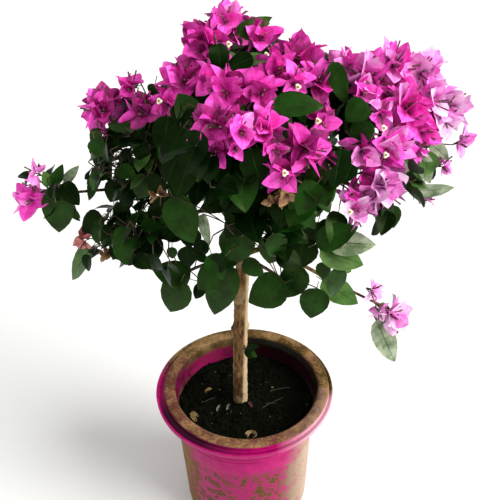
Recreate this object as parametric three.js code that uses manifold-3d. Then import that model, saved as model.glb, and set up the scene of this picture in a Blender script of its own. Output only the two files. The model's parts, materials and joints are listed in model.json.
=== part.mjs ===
// A bougainvillea trained as a small standard tree in a round plastic pot.
//
// A bare trunk stands in the pot's soil and forks into boughs. Each bough carries one mass of
// foliage: twigs fan out from a stem inside the mass, with leaves along them and, where the
// mass is in bloom, flowers of three papery bracts at the twigs' ends.
//
// Millimetres, +Z up. The origin is the middle of the pot's flat underside, and -Y is the side
// that is seen in front.
import * as THREE from "three";
import { mergeVertices } from "three/addons/utils/BufferGeometryUtils.js";
import Module from "manifold-3d";

const wasm = await Module();
wasm.setup();

const vec = (x, y, z) => new THREE.Vector3(x, y, z);
const { lerp } = THREE.MathUtils;
const UP = vec(0, 0, 1);
const FRONT = vec(0, -1, 0);
const GOLDEN_ANGLE = Math.PI * (3 - Math.sqrt(5));

// Neighbouring solids keep this gap.
const GAP = 0.3;

// The pot has a flat lip with a rim standing out below it, a collar and a tapering body.
const POT = {
  height: 215,
  rimRadius: 125,
  lipRadius: 118,
  mouthRadius: 102,
  collarRadius: 107.5,
  collarDepth: 76,
  footRadius: 90,
  wall: 5,
  base: 8,
  sides: 32,
  drainHoles: 4,
  drainHoleRadius: 7,
  drainCircleRadius: 50,
};
const SOIL_LEVEL = POT.height - 32;

const TRUNK = {
  height: 340,
  footRadius: 12,
  tipRadius: 7.5,
  flare: 3.5,
  flareHeight: 14,
  leanX: 8,
  leanY: 3,
  sides: 10,
  steps: 8,
};
const BOUGH = { sides: 5, steps: 3 };
const STEM = { radius: 2.8, sides: 4, steps: 2 };
const TWIG = { radius: 1.7, tipRadius: 1.4, sides: 3 };

// Leaves and bracts are thin blades, thickest in the middle. A blade's root is sunk this far
// into its twig.
const LEAF = { length: 60, width: 43, thickness: 2.4, widest: 0.42, least: 0.75 };
const BRACT = { length: 42, width: 33, thickness: 1.2, widest: 0.45 };
const FLOWER = { bracts: 3, depth: 4 };
const SUNK = 0.4;

// Where along a twig its leaves and flowers stand, and how many angles are tried for each.
const LEAF_STATIONS = [1, 0.75, 0.5];
const BLOOM_LEAF_STATIONS = [0.5];
const FLOWER_STATIONS = [1, 0.75];
const TRIES = 16;

// Blades keep this far from limbs, and this share of a mass's reach inside its own space.
const LIMB_CLEARANCE = 1.2;
const SPACE_MARGIN = 0.03;

// A leaf makes at least this much of an angle with its twig, as the greatest cosine.
const STEEPEST = 0.8;

// Each mass of foliage has its middle and its reach along X, Y and Z, its number of twigs, and
// the share of them in bloom, counted from the top. Its bough leaves the parent limb at a share
// of that limb's length, with a radius there, and rises by so much on its way.
const mass = (name, middle, reach, twigs, bloom, parent, leaves, radius, rise) => ({
  name,
  middle: vec(...middle),
  reach: vec(...reach),
  twigs,
  bloom,
  parent,
  leaves,
  radius,
  rise,
});
const MASSES = [
  mass("top", [-28, 10, 692], [82, 78, 76], 9, 1, "trunk", 0.995, 5, 20),
  mass("core", [40, 40, 585], [70, 60, 66], 5, 0, "trunk", 0.965, 3.2, -8),
  mass("top_right", [62, 20, 668], [76, 74, 74], 8, 1, "top", 0.5, 3.2, 5),
  mass("back", [0, 125, 640], [92, 82, 82], 8, 0.5, "top", 0.25, 3.8, 15),
  mass("left", [-140, -10, 612], [86, 80, 80], 8, 0.55, "trunk", 0.86, 4.5, 40),
  mass("far_left", [-228, -20, 545], [60, 56, 60], 5, 0.3, "left", 0.7, 3, 10),
  mass("left_low", [-125, -55, 510], [80, 76, 70], 8, 0.1, "left", 0.4, 3.2, 10),
  mass("front", [-12, -105, 652], [80, 72, 74], 8, 0.7, "trunk", 0.89, 4.5, 40),
  mass("front_right", [76, -100, 618], [70, 68, 68], 7, 0.8, "front", 0.5, 3, 15),
  mass("front_low", [0, -100, 540], [84, 72, 76], 8, 0, "front", 0.25, 3, 5),
  mass("right", [160, 0, 652], [80, 76, 82], 8, 1, "trunk", 0.94, 4.5, 40),
  mass("right_outer", [225, 0, 598], [64, 66, 72], 7, 0.6, "right", 0.7, 3.2, 10),
  mass("right_front", [146, -76, 580], [70, 68, 76], 8, 0.9, "right", 0.5, 3.2, 5),
  mass("right_low", [105, -60, 492], [76, 70, 66], 7, 0, "trunk", 0.77, 3.8, 20),
  mass("low_right", [186, -42, 384], [54, 50, 56], 4, 0.5, "right_low", 0.6, 2.8, -8),
  mass("low_left", [-78, -50, 448], [72, 64, 62], 6, 0, "trunk", 0.75, 3.4, 15),
  mass("low_middle", [46, -55, 445], [64, 60, 58], 6, 0, "trunk", 0.73, 3.4, 15),
  mass("back_left", [-110, 95, 590], [88, 82, 86], 8, 0.5, "trunk", 0.91, 4.5, 30),
  mass("back_right", [115, 95, 590], [88, 82, 86], 8, 0.5, "trunk", 0.83, 4.5, 40),
  mass("back_low", [0, 95, 490], [100, 80, 76], 7, 0, "trunk", 0.8, 3.8, 20),
];
const CROWN_MIDDLE = vec(0, 0, 560);

const surface = (color, roughness) => new THREE.MeshStandardMaterial({ color, roughness, metalness: 0 });
const GLOSS = surface(0xc2257f, 0.45);
const EARTH = surface(0x1f1a14, 1);
const BARK = surface(0x8c6b4a, 0.9);
const GREEN = surface(0x1f4a1f, 0.55);
const MAGENTA = surface(0xd52a9c, 0.7);

// A random number source that gives the same numbers for the same seed.
function dice(seed) {
  let state = seed;
  return (low, high) => {
    state = (state * 1664525 + 1013904223) % 4294967296;
    return low + ((high - low) * state) / 4294967296;
  };
}

// Turns a closed geometry into a solid that can be joined and cut.
function solidOf(geometry) {
  geometry.deleteAttribute("normal");
  geometry.deleteAttribute("uv");
  const merged = mergeVertices(geometry, 1e-4);
  return new wasm.Manifold(
    new wasm.Mesh({
      numProp: 3,
      vertProperties: merged.attributes.position.array,
      triVerts: new Uint32Array(merged.index.array),
    }),
  );
}

// Drops the loose scraps that a join or cut leaves beside the main body.
const mainBody = (solid) =>
  solid.decompose().reduce((largest, body) => (body.volume() > largest.volume() ? body : largest));

function meshOf(name, solid, material) {
  const { vertProperties, triVerts } = solid.getMesh();
  const geometry = new THREE.BufferGeometry();
  geometry.setAttribute("position", new THREE.BufferAttribute(vertProperties, 3));
  geometry.setIndex(new THREE.BufferAttribute(triVerts, 1));
  geometry.computeVertexNormals();
  const mesh = new THREE.Mesh(geometry, material);
  mesh.name = name;
  return mesh;
}

// Moves each vertex of a geometry to where a function of its place puts it.
function moved(geometry, placeAt) {
  const place = geometry.attributes.position;
  for (let i = 0; i < place.count; i += 1) {
    const point = placeAt(place.getX(i), place.getY(i), place.getZ(i));
    place.setXYZ(i, point.x, point.y, point.z);
  }
  return geometry;
}

// A round turned shape about the Z axis, from a profile of [radius, height] points that starts
// and ends on the axis.
function turned(profile) {
  const points = profile.map(([radius, height]) => new THREE.Vector2(radius, height));
  return solidOf(new THREE.LatheGeometry(points, POT.sides).rotateX(Math.PI / 2));
}

// The inside of the pot's wall at a height.
const innerRadius = (height) => lerp(POT.footRadius, POT.mouthRadius + 2, height / POT.height) - POT.wall;

function makePot() {
  const { height: top, rimRadius: rim, lipRadius: lip, mouthRadius: mouth } = POT;
  const { collarRadius: collar, footRadius: foot, base } = POT;
  const collarFoot = top - POT.collarDepth;
  let pot = turned([
    [0, 0],
    [foot, 0],
    [collar - 5.5, collarFoot - 2],
    [collar - 3.5, collarFoot],
    [collar, top - 26],
    [rim, top - 12],
    [rim, top - 5],
    [lip + 1, top - 7],
    [lip, top - 2],
    [lip - 6, top],
    [mouth, top - 1],
    [innerRadius(top - 12), top - 12],
    [innerRadius(base), base],
    [0, base],
  ]);
  for (let i = 0; i < POT.drainHoles; i += 1) {
    const angle = (i * 2 * Math.PI) / POT.drainHoles;
    const hole = new THREE.CylinderGeometry(POT.drainHoleRadius, POT.drainHoleRadius, base * 3, 10);
    hole.rotateX(Math.PI / 2);
    hole.translate(POT.drainCircleRadius * Math.cos(angle), POT.drainCircleRadius * Math.sin(angle), base / 2);
    pot = pot.subtract(solidOf(hole));
  }
  return pot;
}

function makeSoil() {
  const floor = POT.base + GAP;
  return turned([
    [0, floor],
    [innerRadius(floor) - GAP, floor],
    [innerRadius(SOIL_LEVEL) - GAP, SOIL_LEVEL],
    [0, SOIL_LEVEL],
  ]);
}

// A direction square to another one.
const squareTo = (direction) =>
  direction
    .clone()
    .cross(Math.abs(direction.z) < 0.8 * direction.length() ? UP : FRONT)
    .normalize();

// A limb: a prism bent along the stretch of a curve between two shares of its length, with the
// radius that radiusAt gives at each share.
function limbSolid(curve, from, to, radiusAt, { sides, steps = 1 }) {
  const corners = Array.from({ length: sides }, (_, i) => {
    const angle = (i * 2 * Math.PI) / sides;
    return new THREE.Vector2(Math.cos(angle), Math.sin(angle));
  });
  const prism = new THREE.ExtrudeGeometry(new THREE.Shape(corners), { depth: 1, steps, bevelEnabled: false });
  const side = squareTo(curve.getPoint(1).sub(curve.getPoint(0)));
  const bent = moved(prism, (x, y, z) => {
    const share = lerp(from, to, z);
    const ahead = curve.getTangent(share);
    const other = ahead.clone().cross(side).normalize();
    const flat = other.clone().cross(ahead);
    return curve
      .getPoint(share)
      .addScaledVector(flat, x * radiusAt(share))
      .addScaledVector(other, y * radiusAt(share));
  });
  return solidOf(bent);
}

// The trunk's line and its radius, which flares out at the foot.
function makeTrunk() {
  const foot = vec(0, 0, SOIL_LEVEL + GAP);
  const middle = foot.clone().addScaledVector(UP, TRUNK.height / 2);
  const tip = foot.clone().add(vec(TRUNK.leanX, TRUNK.leanY, TRUNK.height));
  const curve = new THREE.QuadraticBezierCurve3(foot, middle, tip);
  const radiusAt = (share) =>
    lerp(TRUNK.footRadius, TRUNK.tipRadius, share) +
    TRUNK.flare * Math.exp((-share * TRUNK.height) / TRUNK.flareHeight);
  return { curve, radiusAt, end: 1, mesh: TRUNK };
}

// How far a point is from a mass's middle, where 1 is the mass's reach.
const scaledDistance = (point, { middle, reach }) => point.clone().sub(middle).divide(reach).length();

// Whether a point is within a mass's reach and nearer to it than to any other mass.
function inSpace(point, own) {
  const distance = scaledDistance(point, own);
  return (
    distance <= 1 &&
    MASSES.every((other) => other === own || scaledDistance(point, other) > distance + SPACE_MARGIN)
  );
}

// A bough and its mass's stem are one curve from the parent limb to the mass's middle. The
// bough ends where that enters the mass's space.
function makeBough(own, limbs) {
  const parent = limbs.get(own.parent);
  const start = parent.curve.getPoint(own.leaves * parent.end);
  const control = start.clone().lerp(own.middle, 0.45).addScaledVector(UP, own.rise);
  const curve = new THREE.QuadraticBezierCurve3(start, control, own.middle);
  let end = 0.2;
  while (end < 0.85 && !inSpace(curve.getPoint(end), own)) end += 0.01;
  const radiusAt = (share) => lerp(own.radius, STEM.radius, share);
  return { curve, radiusAt, end, mesh: BOUGH, parent, own };
}

// Points along every limb with the limb's radius there, for keeping blades clear of them.
function pointsAlong(limbs) {
  const points = [];
  for (const { curve, radiusAt, end } of limbs.values()) {
    const count = Math.ceil((curve.getLength() * end) / 3);
    for (let i = 0; i <= count; i += 1) {
      const share = (end * i) / count;
      points.push({ at: curve.getPoint(share), radius: radiusAt(share) });
    }
  }
  return points;
}

// A leaf or bract: its root, the directions along it, across it and out of its upper face, and
// its size.
function makeBlade(root, along, facing, size) {
  const across = along.clone().cross(facing).normalize();
  const blade = { root, along, across, out: across.clone().cross(along), size };
  const { length, width, widest } = size;
  blade.neck = bladePoint(blade, length * 0.15, 0, 0);
  blade.middle = bladePoint(blade, length * widest, 0, 0);
  blade.sides = [0.5, -0.5].map((half) => bladePoint(blade, length * widest, width * half, 0));
  blade.tip = bladePoint(blade, length, 0, 0);
  return blade;
}

function bladePoint({ root, along, across, out }, ahead, aside, above) {
  return root
    .clone()
    .addScaledVector(along, ahead)
    .addScaledVector(across, aside)
    .addScaledVector(out, above);
}

// Whether a straight line between two points passes through a blade, beyond its neck.
function passesThrough(from, to, { neck, sides, tip }) {
  const ahead = to.clone().sub(from);
  const ray = new THREE.Ray(from, ahead.clone().normalize());
  return sides.some((side) => {
    const hit = ray.intersectTriangle(neck, side, tip, false, vec(0, 0, 0));
    return hit !== null && hit.distanceTo(from) < ahead.length();
  });
}

// Whether any edge of one blade passes through the other.
function crosses(one, other) {
  if (one.middle.distanceTo(other.middle) > one.size.length + other.size.length) return false;
  return [
    [one, other],
    [other, one],
  ].some(
    ([edges, face]) =>
      passesThrough(edges.neck, edges.tip, face) ||
      edges.sides.some((side) => passesThrough(edges.neck, side, face) || passesThrough(side, edges.tip, face)),
  );
}

// Whether a blade is clear of the limbs, given as points with a radius.
function clearOf(points, { root, along, across, out, size }) {
  return !points.some(({ at, radius }) => {
    const offset = at.clone().sub(root);
    const room = radius + LIMB_CLEARANCE;
    const ahead = offset.dot(along);
    const beyond = Math.abs(offset.dot(out)) - size.thickness;
    const aside = Math.abs(offset.dot(across)) - size.width / 2;
    return beyond < room && ahead > -room && ahead < size.length + room && aside < room;
  });
}

// A blade's body is a low pyramid on a flat kite: root, sides, tip and a ridge in the middle.
function bladeSolid(blade) {
  const { length, width, thickness, widest } = blade.size;
  const corners = [
    [-SUNK, 0],
    [length * widest, width / 2],
    [length, 0],
    [length * widest, -width / 2],
  ];
  const pyramid = new THREE.ConeGeometry(1, 1, corners.length);
  return solidOf(
    moved(pyramid, (x, y, z) => {
      if (y > 0) return bladePoint(blade, length * widest, 0, thickness);
      const corner = Math.round(Math.atan2(x, z) / (Math.PI / 2) + corners.length) % corners.length;
      return bladePoint(blade, ...corners[corner], 0);
    }),
  );
}

// A flower's body is a shallow cup with a point at each bract's tip.
function flowerSolid({ root, axis, bracts }) {
  const corners = bracts.flatMap((bract, i) => {
    const next = bracts[(i + 1) % bracts.length];
    return [bract.tip, bract.sides[1].clone().lerp(next.sides[0], 0.5)];
  });
  const cup = new THREE.ConeGeometry(1, 1, corners.length);
  return solidOf(
    moved(cup, (x, y, z) => {
      if (y > 0) return root.clone().addScaledVector(axis, FLOWER.depth);
      if (Math.hypot(x, z) < 0.5) return root.clone().addScaledVector(axis, -SUNK);
      const turn = Math.atan2(x, z) / (2 * Math.PI);
      return corners[Math.round((turn + 1) * corners.length) % corners.length];
    }),
  );
}

// A leaf stands out from its twig at an angle about it and hangs by its own weight.
function leafAt(root, ahead, angle, droop, outward, scale) {
  const aside = squareTo(ahead).applyAxisAngle(ahead, angle);
  const along = aside
    .multiplyScalar(0.8)
    .addScaledVector(ahead, 0.55)
    .addScaledVector(UP, -droop)
    .normalize();
  const facing = outward.clone().multiplyScalar(0.5).addScaledVector(UP, 0.8);
  const size = { ...LEAF, length: LEAF.length * scale, width: LEAF.width * scale };
  return makeBlade(root, along, facing, size);
}

// A flower's bracts stand round its axis like an open cup.
function flowerAt(root, axis, random) {
  const bracts = [];
  const turn = random(0, 2);
  for (let i = 0; i < FLOWER.bracts; i += 1) {
    const around = squareTo(axis).applyAxisAngle(axis, turn + (i * 2 * Math.PI) / FLOWER.bracts);
    const lean = random(0.8, 1.2);
    const along = around.multiplyScalar(Math.sin(lean)).addScaledVector(axis, Math.cos(lean));
    bracts.push(makeBlade(root, along, axis, BRACT));
  }
  return { root, axis, bracts };
}

// Whether a straight twig stays in its mass's space and clear of the limbs.
function twigFits(start, end, own, points) {
  const steps = Math.ceil(start.distanceTo(end) / 3);
  for (let i = 0; i <= steps; i += 1) {
    const point = start.clone().lerp(end, i / steps);
    if (!inSpace(point, own)) return false;
    if (points.some(({ at, radius }) => at.distanceTo(point) < radius + TWIG.radius + LIMB_CLEARANCE)) return false;
  }
  return true;
}

// The twigs of a mass leave its stem and fan out evenly over a sphere, each as far as the
// mass's space goes, less room for what it bears at its end.
function twigsOf({ own, curve, end: stemStart }, points) {
  const twigs = [];
  for (let k = 0; k < own.twigs; k += 1) {
    const height = 1 - (2 * (k + 0.5)) / own.twigs;
    const flat = Math.sqrt(1 - height * height);
    const turn = k * GOLDEN_ANGLE;
    const reach = vec(flat * Math.cos(turn), flat * Math.sin(turn), height).multiply(own.reach);
    let far = 1;
    while (far > 0.2 && !inSpace(reach.clone().multiplyScalar(far).add(own.middle), own)) far -= 0.05;
    const blooms = k < own.bloom * own.twigs;
    const room = blooms ? BRACT.length * 0.75 : LEAF.length * 0.6;
    const length = Math.max(far * reach.length() - room, 14);
    const end = reach.clone().setLength(length).add(own.middle);
    const start = curve.getPoint(lerp(1, stemStart, (0.85 * k) / own.twigs));
    const ahead = end.clone().sub(start).normalize();
    const outward = end.clone().sub(CROWN_MIDDLE).normalize();
    if (twigFits(start, end, own, points)) twigs.push({ start, end, ahead, outward, blooms });
  }
  return twigs;
}

// The leaves and flowers of a mass, along its twigs. Each is tried at several angles, and one
// that would leave the mass's space, touch a limb or pass through another is left out.
function growthOf(own, twigs, points, random) {
  const blades = [];
  const leaves = [];
  const flowers = [];
  const fits = (blade) =>
    [blade.middle, blade.tip, ...blade.sides].every((point) => inSpace(point, own)) &&
    clearOf(points, blade) &&
    !twigs.some(({ start, end }) => passesThrough(start, end, blade)) &&
    !blades.some((other) => crosses(blade, other));
  const tryTimes = (attempt) => {
    for (let tried = 0; tried < TRIES; tried += 1) if (attempt(tried / TRIES)) return;
  };
  for (const { start, end, ahead, outward } of twigs.filter(({ blooms }) => blooms)) {
    for (const share of FLOWER_STATIONS) {
      const root = start.clone().lerp(end, share);
      tryTimes((wander) => {
        const astray = vec(random(-1, 1), random(-1, 1), random(-1, 1)).multiplyScalar(2 * wander);
        const flower = flowerAt(root, ahead.clone().add(outward).add(astray).normalize(), random);
        if (!flower.bracts.every((bract) => fits(bract))) return false;
        flowers.push(flower);
        blades.push(...flower.bracts);
        return true;
      });
    }
  }
  for (const { start, end, ahead, outward, blooms } of twigs) {
    for (const share of blooms ? BLOOM_LEAF_STATIONS : LEAF_STATIONS) {
      const root = start.clone().lerp(end, share);
      const turn = random(0, 2 * Math.PI);
      tryTimes((wander) => {
        const angle = turn + wander * TRIES * GOLDEN_ANGLE;
        const leaf = leafAt(root, ahead, angle, random(0.1, 0.9), outward, random(LEAF.least, 1));
        if (Math.abs(leaf.along.dot(ahead)) > STEEPEST || !fits(leaf)) return false;
        leaves.push(leaf);
        blades.push(leaf);
        return true;
      });
    }
  }
  return { leaves, flowers };
}

// One mass of foliage: its stem, twigs and blades fused into one body.
function makeMass(bough, points, seed) {
  const { own, curve, end } = bough;
  const tenthOn = curve.getPoint(end).distanceTo(curve.getPoint(end + 0.1));
  const stemStart = end + (0.1 * GAP) / tenthOn;
  let solid = limbSolid(curve, stemStart, 1, () => STEM.radius, STEM);
  const twigs = twigsOf(bough, points);
  for (const { start, end: tip } of twigs) {
    const line = new THREE.LineCurve3(start, tip);
    solid = solid.add(limbSolid(line, 0, 1, (share) => lerp(TWIG.radius, TWIG.tipRadius, share), TWIG));
  }
  const { leaves, flowers } = growthOf(own, twigs, points, dice(seed));
  for (const leaf of leaves) solid = solid.add(bladeSolid(leaf));
  for (const flower of flowers) solid = solid.add(flowerSolid(flower));
  return mainBody(solid);
}

const plant = new THREE.Group();
plant.add(meshOf("pot", makePot(), GLOSS));
plant.add(meshOf("soil", makeSoil(), EARTH));

const trunk = makeTrunk();
const limbs = new Map([["trunk", trunk]]);
for (const own of MASSES) limbs.set(own.name, makeBough(own, limbs));
const points = pointsAlong(limbs);

const whole = ({ curve, end, radiusAt, mesh }, extra) =>
  limbSolid(curve, 0, end, (share) => radiusAt(share) + extra, mesh);
plant.add(meshOf("trunk", whole(trunk, 0), BARK));
MASSES.forEach((own, index) => {
  const bough = limbs.get(own.name);
  const clearOfParent = whole(bough, 0).subtract(whole(bough.parent, GAP));
  plant.add(meshOf(`bough_${own.name}`, mainBody(clearOfParent), BARK));
  plant.add(meshOf(`mass_${own.name}`, makeMass(bough, points, index + 1), own.bloom > 0.3 ? MAGENTA : GREEN));
});

export default plant;
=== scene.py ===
"""The looks of a bougainvillea trained as a small standard tree, in its round plastic pot.

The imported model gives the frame. A smooth pot, lumpy soil, rough bark, twigs, leaves and flowers
take the place of its faceted solids. Twigs grow by the same rule as in the part's source, from
the same masses of foliage, and are carried to finer ones.

Metres, +Z up. The origin is the middle of the pot's underside, and -Y is the side seen in front.
"""

import json
import math
from collections import namedtuple

import bmesh
import bpy
import numpy as np
from mathutils import Matrix, Quaternion, Vector, noise

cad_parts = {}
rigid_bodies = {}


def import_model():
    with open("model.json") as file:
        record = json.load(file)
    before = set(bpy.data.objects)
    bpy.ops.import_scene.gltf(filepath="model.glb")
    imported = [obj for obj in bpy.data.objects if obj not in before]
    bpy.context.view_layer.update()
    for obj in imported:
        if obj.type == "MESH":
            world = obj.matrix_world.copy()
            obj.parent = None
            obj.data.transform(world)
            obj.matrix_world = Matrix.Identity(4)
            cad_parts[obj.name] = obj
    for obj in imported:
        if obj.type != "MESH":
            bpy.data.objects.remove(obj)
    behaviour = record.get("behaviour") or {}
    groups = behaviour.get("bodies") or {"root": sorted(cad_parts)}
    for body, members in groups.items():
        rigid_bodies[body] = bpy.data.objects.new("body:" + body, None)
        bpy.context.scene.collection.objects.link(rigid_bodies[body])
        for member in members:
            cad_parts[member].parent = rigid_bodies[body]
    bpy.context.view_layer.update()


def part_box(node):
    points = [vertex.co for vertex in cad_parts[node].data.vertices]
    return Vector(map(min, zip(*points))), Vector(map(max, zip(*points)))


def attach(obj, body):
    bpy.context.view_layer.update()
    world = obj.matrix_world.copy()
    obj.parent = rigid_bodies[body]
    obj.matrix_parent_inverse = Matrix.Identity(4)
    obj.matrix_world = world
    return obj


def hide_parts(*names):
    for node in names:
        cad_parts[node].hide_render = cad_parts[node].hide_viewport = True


bl_info = {
    "name": "Potted bougainvillea",
    "version": (1, 0, 0),
    "blender": (4, 5, 0),
    "location": "3D View > Sidebar > Bougainvillea",
    "description": "Dresses the packed frame of a potted bougainvillea",
    "category": "Object",
}

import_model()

UP = Vector((0, 0, 1))
FRONT = Vector((0, -1, 0))
GOLDEN_ANGLE = math.pi * (3 - math.sqrt(5))

# The camera stands where the photograph was taken from.
CAMERA_PLACE = Vector((0.0085, -0.8482, 1.0587))
CAMERA_PITCH = math.radians(35.7)
CAMERA_ROLL = math.radians(-0.65)
LENS = 60
SENSOR = 36
PHOTO_SIDE = 500
CAMERA_TURN = Matrix.Rotation(math.pi / 2 - CAMERA_PITCH, 3, "X") @ Matrix.Rotation(CAMERA_ROLL, 3, "Z")
SIGHT = CAMERA_TURN @ Vector((0, 0, -1))


def sight_line(across, down):
    """The line of sight through a pixel of the photograph."""
    pixel = SENSOR / LENS / PHOTO_SIDE
    half = PHOTO_SIDE / 2
    return CAMERA_TURN @ Vector(((across - half) * pixel, (half - down) * pixel, -1))


def seen(across, down, y):
    """The place that the photograph shows at a pixel, on the upright plane at a depth of y."""
    ray = sight_line(across, down)
    return CAMERA_PLACE + ray * ((y - CAMERA_PLACE.y) / ray.y)


def seen_level(across, down, z):
    """The place that the photograph shows at a pixel, at a height of z."""
    ray = sight_line(across, down)
    return CAMERA_PLACE + ray * ((z - CAMERA_PLACE.z) / ray.z)


# The pot, from the frame: its top, the standing-out rim and the soil's level.
POT_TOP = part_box("pot")[1].z
RIM_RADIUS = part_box("pot")[1].x
SOIL_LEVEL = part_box("soil")[1].z
SOIL_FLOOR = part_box("soil")[0].z
LIP_RADIUS = 0.1165
MOUTH_RADIUS = 0.1015
COLLAR_RADIUS = 0.1012
FOOT_RADIUS = 0.090
WALL = 0.005
BASE = 0.008
COLLAR_FOOT = POT_TOP - 0.076
COLLAR_FOOT_RADIUS = COLLAR_RADIUS - 0.0028
COLLAR_TOP = POT_TOP - 0.026
RIM_FOOT = POT_TOP - 0.013
GROOVE_FLOOR = POT_TOP - 0.009
DRAIN_HOLES = 4
DRAIN_RADIUS = 0.007
DRAIN_CIRCLE = 0.050

# Fine lines run round the collar: how many, the height of the first one above the collar's foot,
# the step from one to the next, and how deep they are.
COLLAR_LINES = 3
FIRST_LINE = 0.026
LINE_STEP = 0.006
LINE_DEPTH = 0.0007

# The outer wall slips this far to the left from its foot to the collar, and the lip sits to the
# right and back. The wall is also out of true by a little.
SLIP = 0.0016
LIP_SLIP = Vector((0.0015, 0.0025, 0))
WALL_WAVE = 0.0004

# Trunk: a leaning taper with a slight flare at the foot, and knots as height, turn in degrees
# and size.
TRUNK_FOOT = Vector((-0.0075, 0, SOIL_LEVEL - 0.004))
TRUNK_HEIGHT = 0.340
TRUNK_FOOT_RADIUS = 0.0100
TRUNK_TIP_RADIUS = 0.0082
TRUNK_FLARE = 0.0008
TRUNK_FLARE_HEIGHT = 0.014
TRUNK_LEAN = Vector((0.012, 0.003, 0))
# The painted highlight down the trunk's right side starts this far right of the foot's middle.
LIT_SIDE_EDGE = 0.0012
KNOTS = [
    (0.142, 190, 0.0040),
    (0.148, -15, 0.0036),
    (0.060, 250, 0.0024),
    (0.096, 330, 0.0026),
    (0.192, 230, 0.0030),
    (0.225, 300, 0.0030),
    (0.030, 290, 0.0022),
    (0.118, 100, 0.0030),
    (0.210, 60, 0.0030),
]
KNOT_WIDTH = 0.009

# How far the bark's ridges and lumps stand out, as a share of the limb's radius.
BARK_RIDGES = 0.10
BARK_LUMPS = 0.06

# The masses of foliage, as in the part's source. Each has its middle and its reach along X, Y
# and Z, its number of main twigs, the limb that bears its bough and the share of that limb's
# length where it leaves, and the bough's radius and rise.
Mass = namedtuple("Mass", "name middle reach twigs parent leaves radius rise")
MASSES = [
    Mass("top", (-0.028, 0.010, 0.692), (0.082, 0.078, 0.076), 9, "trunk", 0.995, 0.0050, 0.020),
    Mass("core", (0.040, 0.040, 0.585), (0.070, 0.060, 0.066), 5, "trunk", 0.965, 0.0032, -0.008),
    Mass("top_right", (0.062, 0.020, 0.668), (0.076, 0.074, 0.074), 8, "top", 0.5, 0.0032, 0.005),
    Mass("back", (0, 0.125, 0.640), (0.092, 0.082, 0.082), 8, "top", 0.25, 0.0038, 0.015),
    Mass("left", (-0.140, -0.010, 0.612), (0.086, 0.080, 0.080), 8, "trunk", 0.86, 0.0045, 0.040),
    Mass("far_left", (-0.228, -0.020, 0.545), (0.060, 0.056, 0.060), 5, "left", 0.7, 0.0030, 0.010),
    Mass("left_low", (-0.125, -0.055, 0.510), (0.080, 0.076, 0.070), 8, "left", 0.4, 0.0032, 0.010),
    Mass("front", (-0.012, -0.105, 0.652), (0.080, 0.072, 0.074), 8, "trunk", 0.89, 0.0045, 0.040),
    Mass("front_right", (0.076, -0.100, 0.618), (0.070, 0.068, 0.068), 7, "front", 0.5, 0.0030, 0.015),
    Mass("front_low", (0, -0.100, 0.540), (0.084, 0.072, 0.076), 8, "front", 0.25, 0.0030, 0.005),
    Mass("right", (0.160, 0, 0.652), (0.080, 0.076, 0.082), 8, "trunk", 0.94, 0.0045, 0.040),
    Mass("right_outer", (0.225, 0, 0.598), (0.064, 0.066, 0.072), 7, "right", 0.7, 0.0032, 0.010),
    Mass("right_front", (0.146, -0.076, 0.580), (0.070, 0.068, 0.076), 8, "right", 0.5, 0.0032, 0.005),
    Mass("right_low", (0.105, -0.060, 0.492), (0.076, 0.070, 0.066), 7, "trunk", 0.77, 0.0038, 0.020),
    Mass("low_right", (0.186, -0.042, 0.384), (0.054, 0.050, 0.056), 4, "right_low", 0.6, 0.0028, -0.008),
    Mass("low_left", (-0.078, -0.050, 0.448), (0.072, 0.064, 0.062), 6, "trunk", 0.75, 0.0034, 0.015),
    Mass("low_middle", (0.046, -0.055, 0.445), (0.064, 0.060, 0.058), 6, "trunk", 0.73, 0.0034, 0.015),
    Mass("back_left", (-0.110, 0.095, 0.590), (0.088, 0.082, 0.086), 8, "trunk", 0.91, 0.0045, 0.030),
    Mass("back_right", (0.115, 0.095, 0.590), (0.088, 0.082, 0.086), 8, "trunk", 0.83, 0.0045, 0.040),
    Mass("back_low", (0, 0.095, 0.490), (0.100, 0.080, 0.076), 7, "trunk", 0.80, 0.0038, 0.020),
]
NAMES = [mass.name for mass in MASSES]
MASS_NODES = [f"mass_{name}" for name in NAMES]
BOUGH_NODES = [f"bough_{name}" for name in NAMES]
MIDDLES = np.array([mass.middle for mass in MASSES])
REACHES = np.array([mass.reach for mass in MASSES])
CROWN_MIDDLE = Vector((0, 0, 0.560))
SPACE_MARGIN = 0.03
STEM_TIP_RADIUS = 0.0013

# A bough bends at this share of the way to its mass's middle. Where it enters the mass is looked
# for by steps, from one share of its length up to another.
BOUGH_BEND = 0.45
FIRST_ENTRY = 0.2
LAST_ENTRY = 0.85
ENTRY_STEP = 0.01

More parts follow.
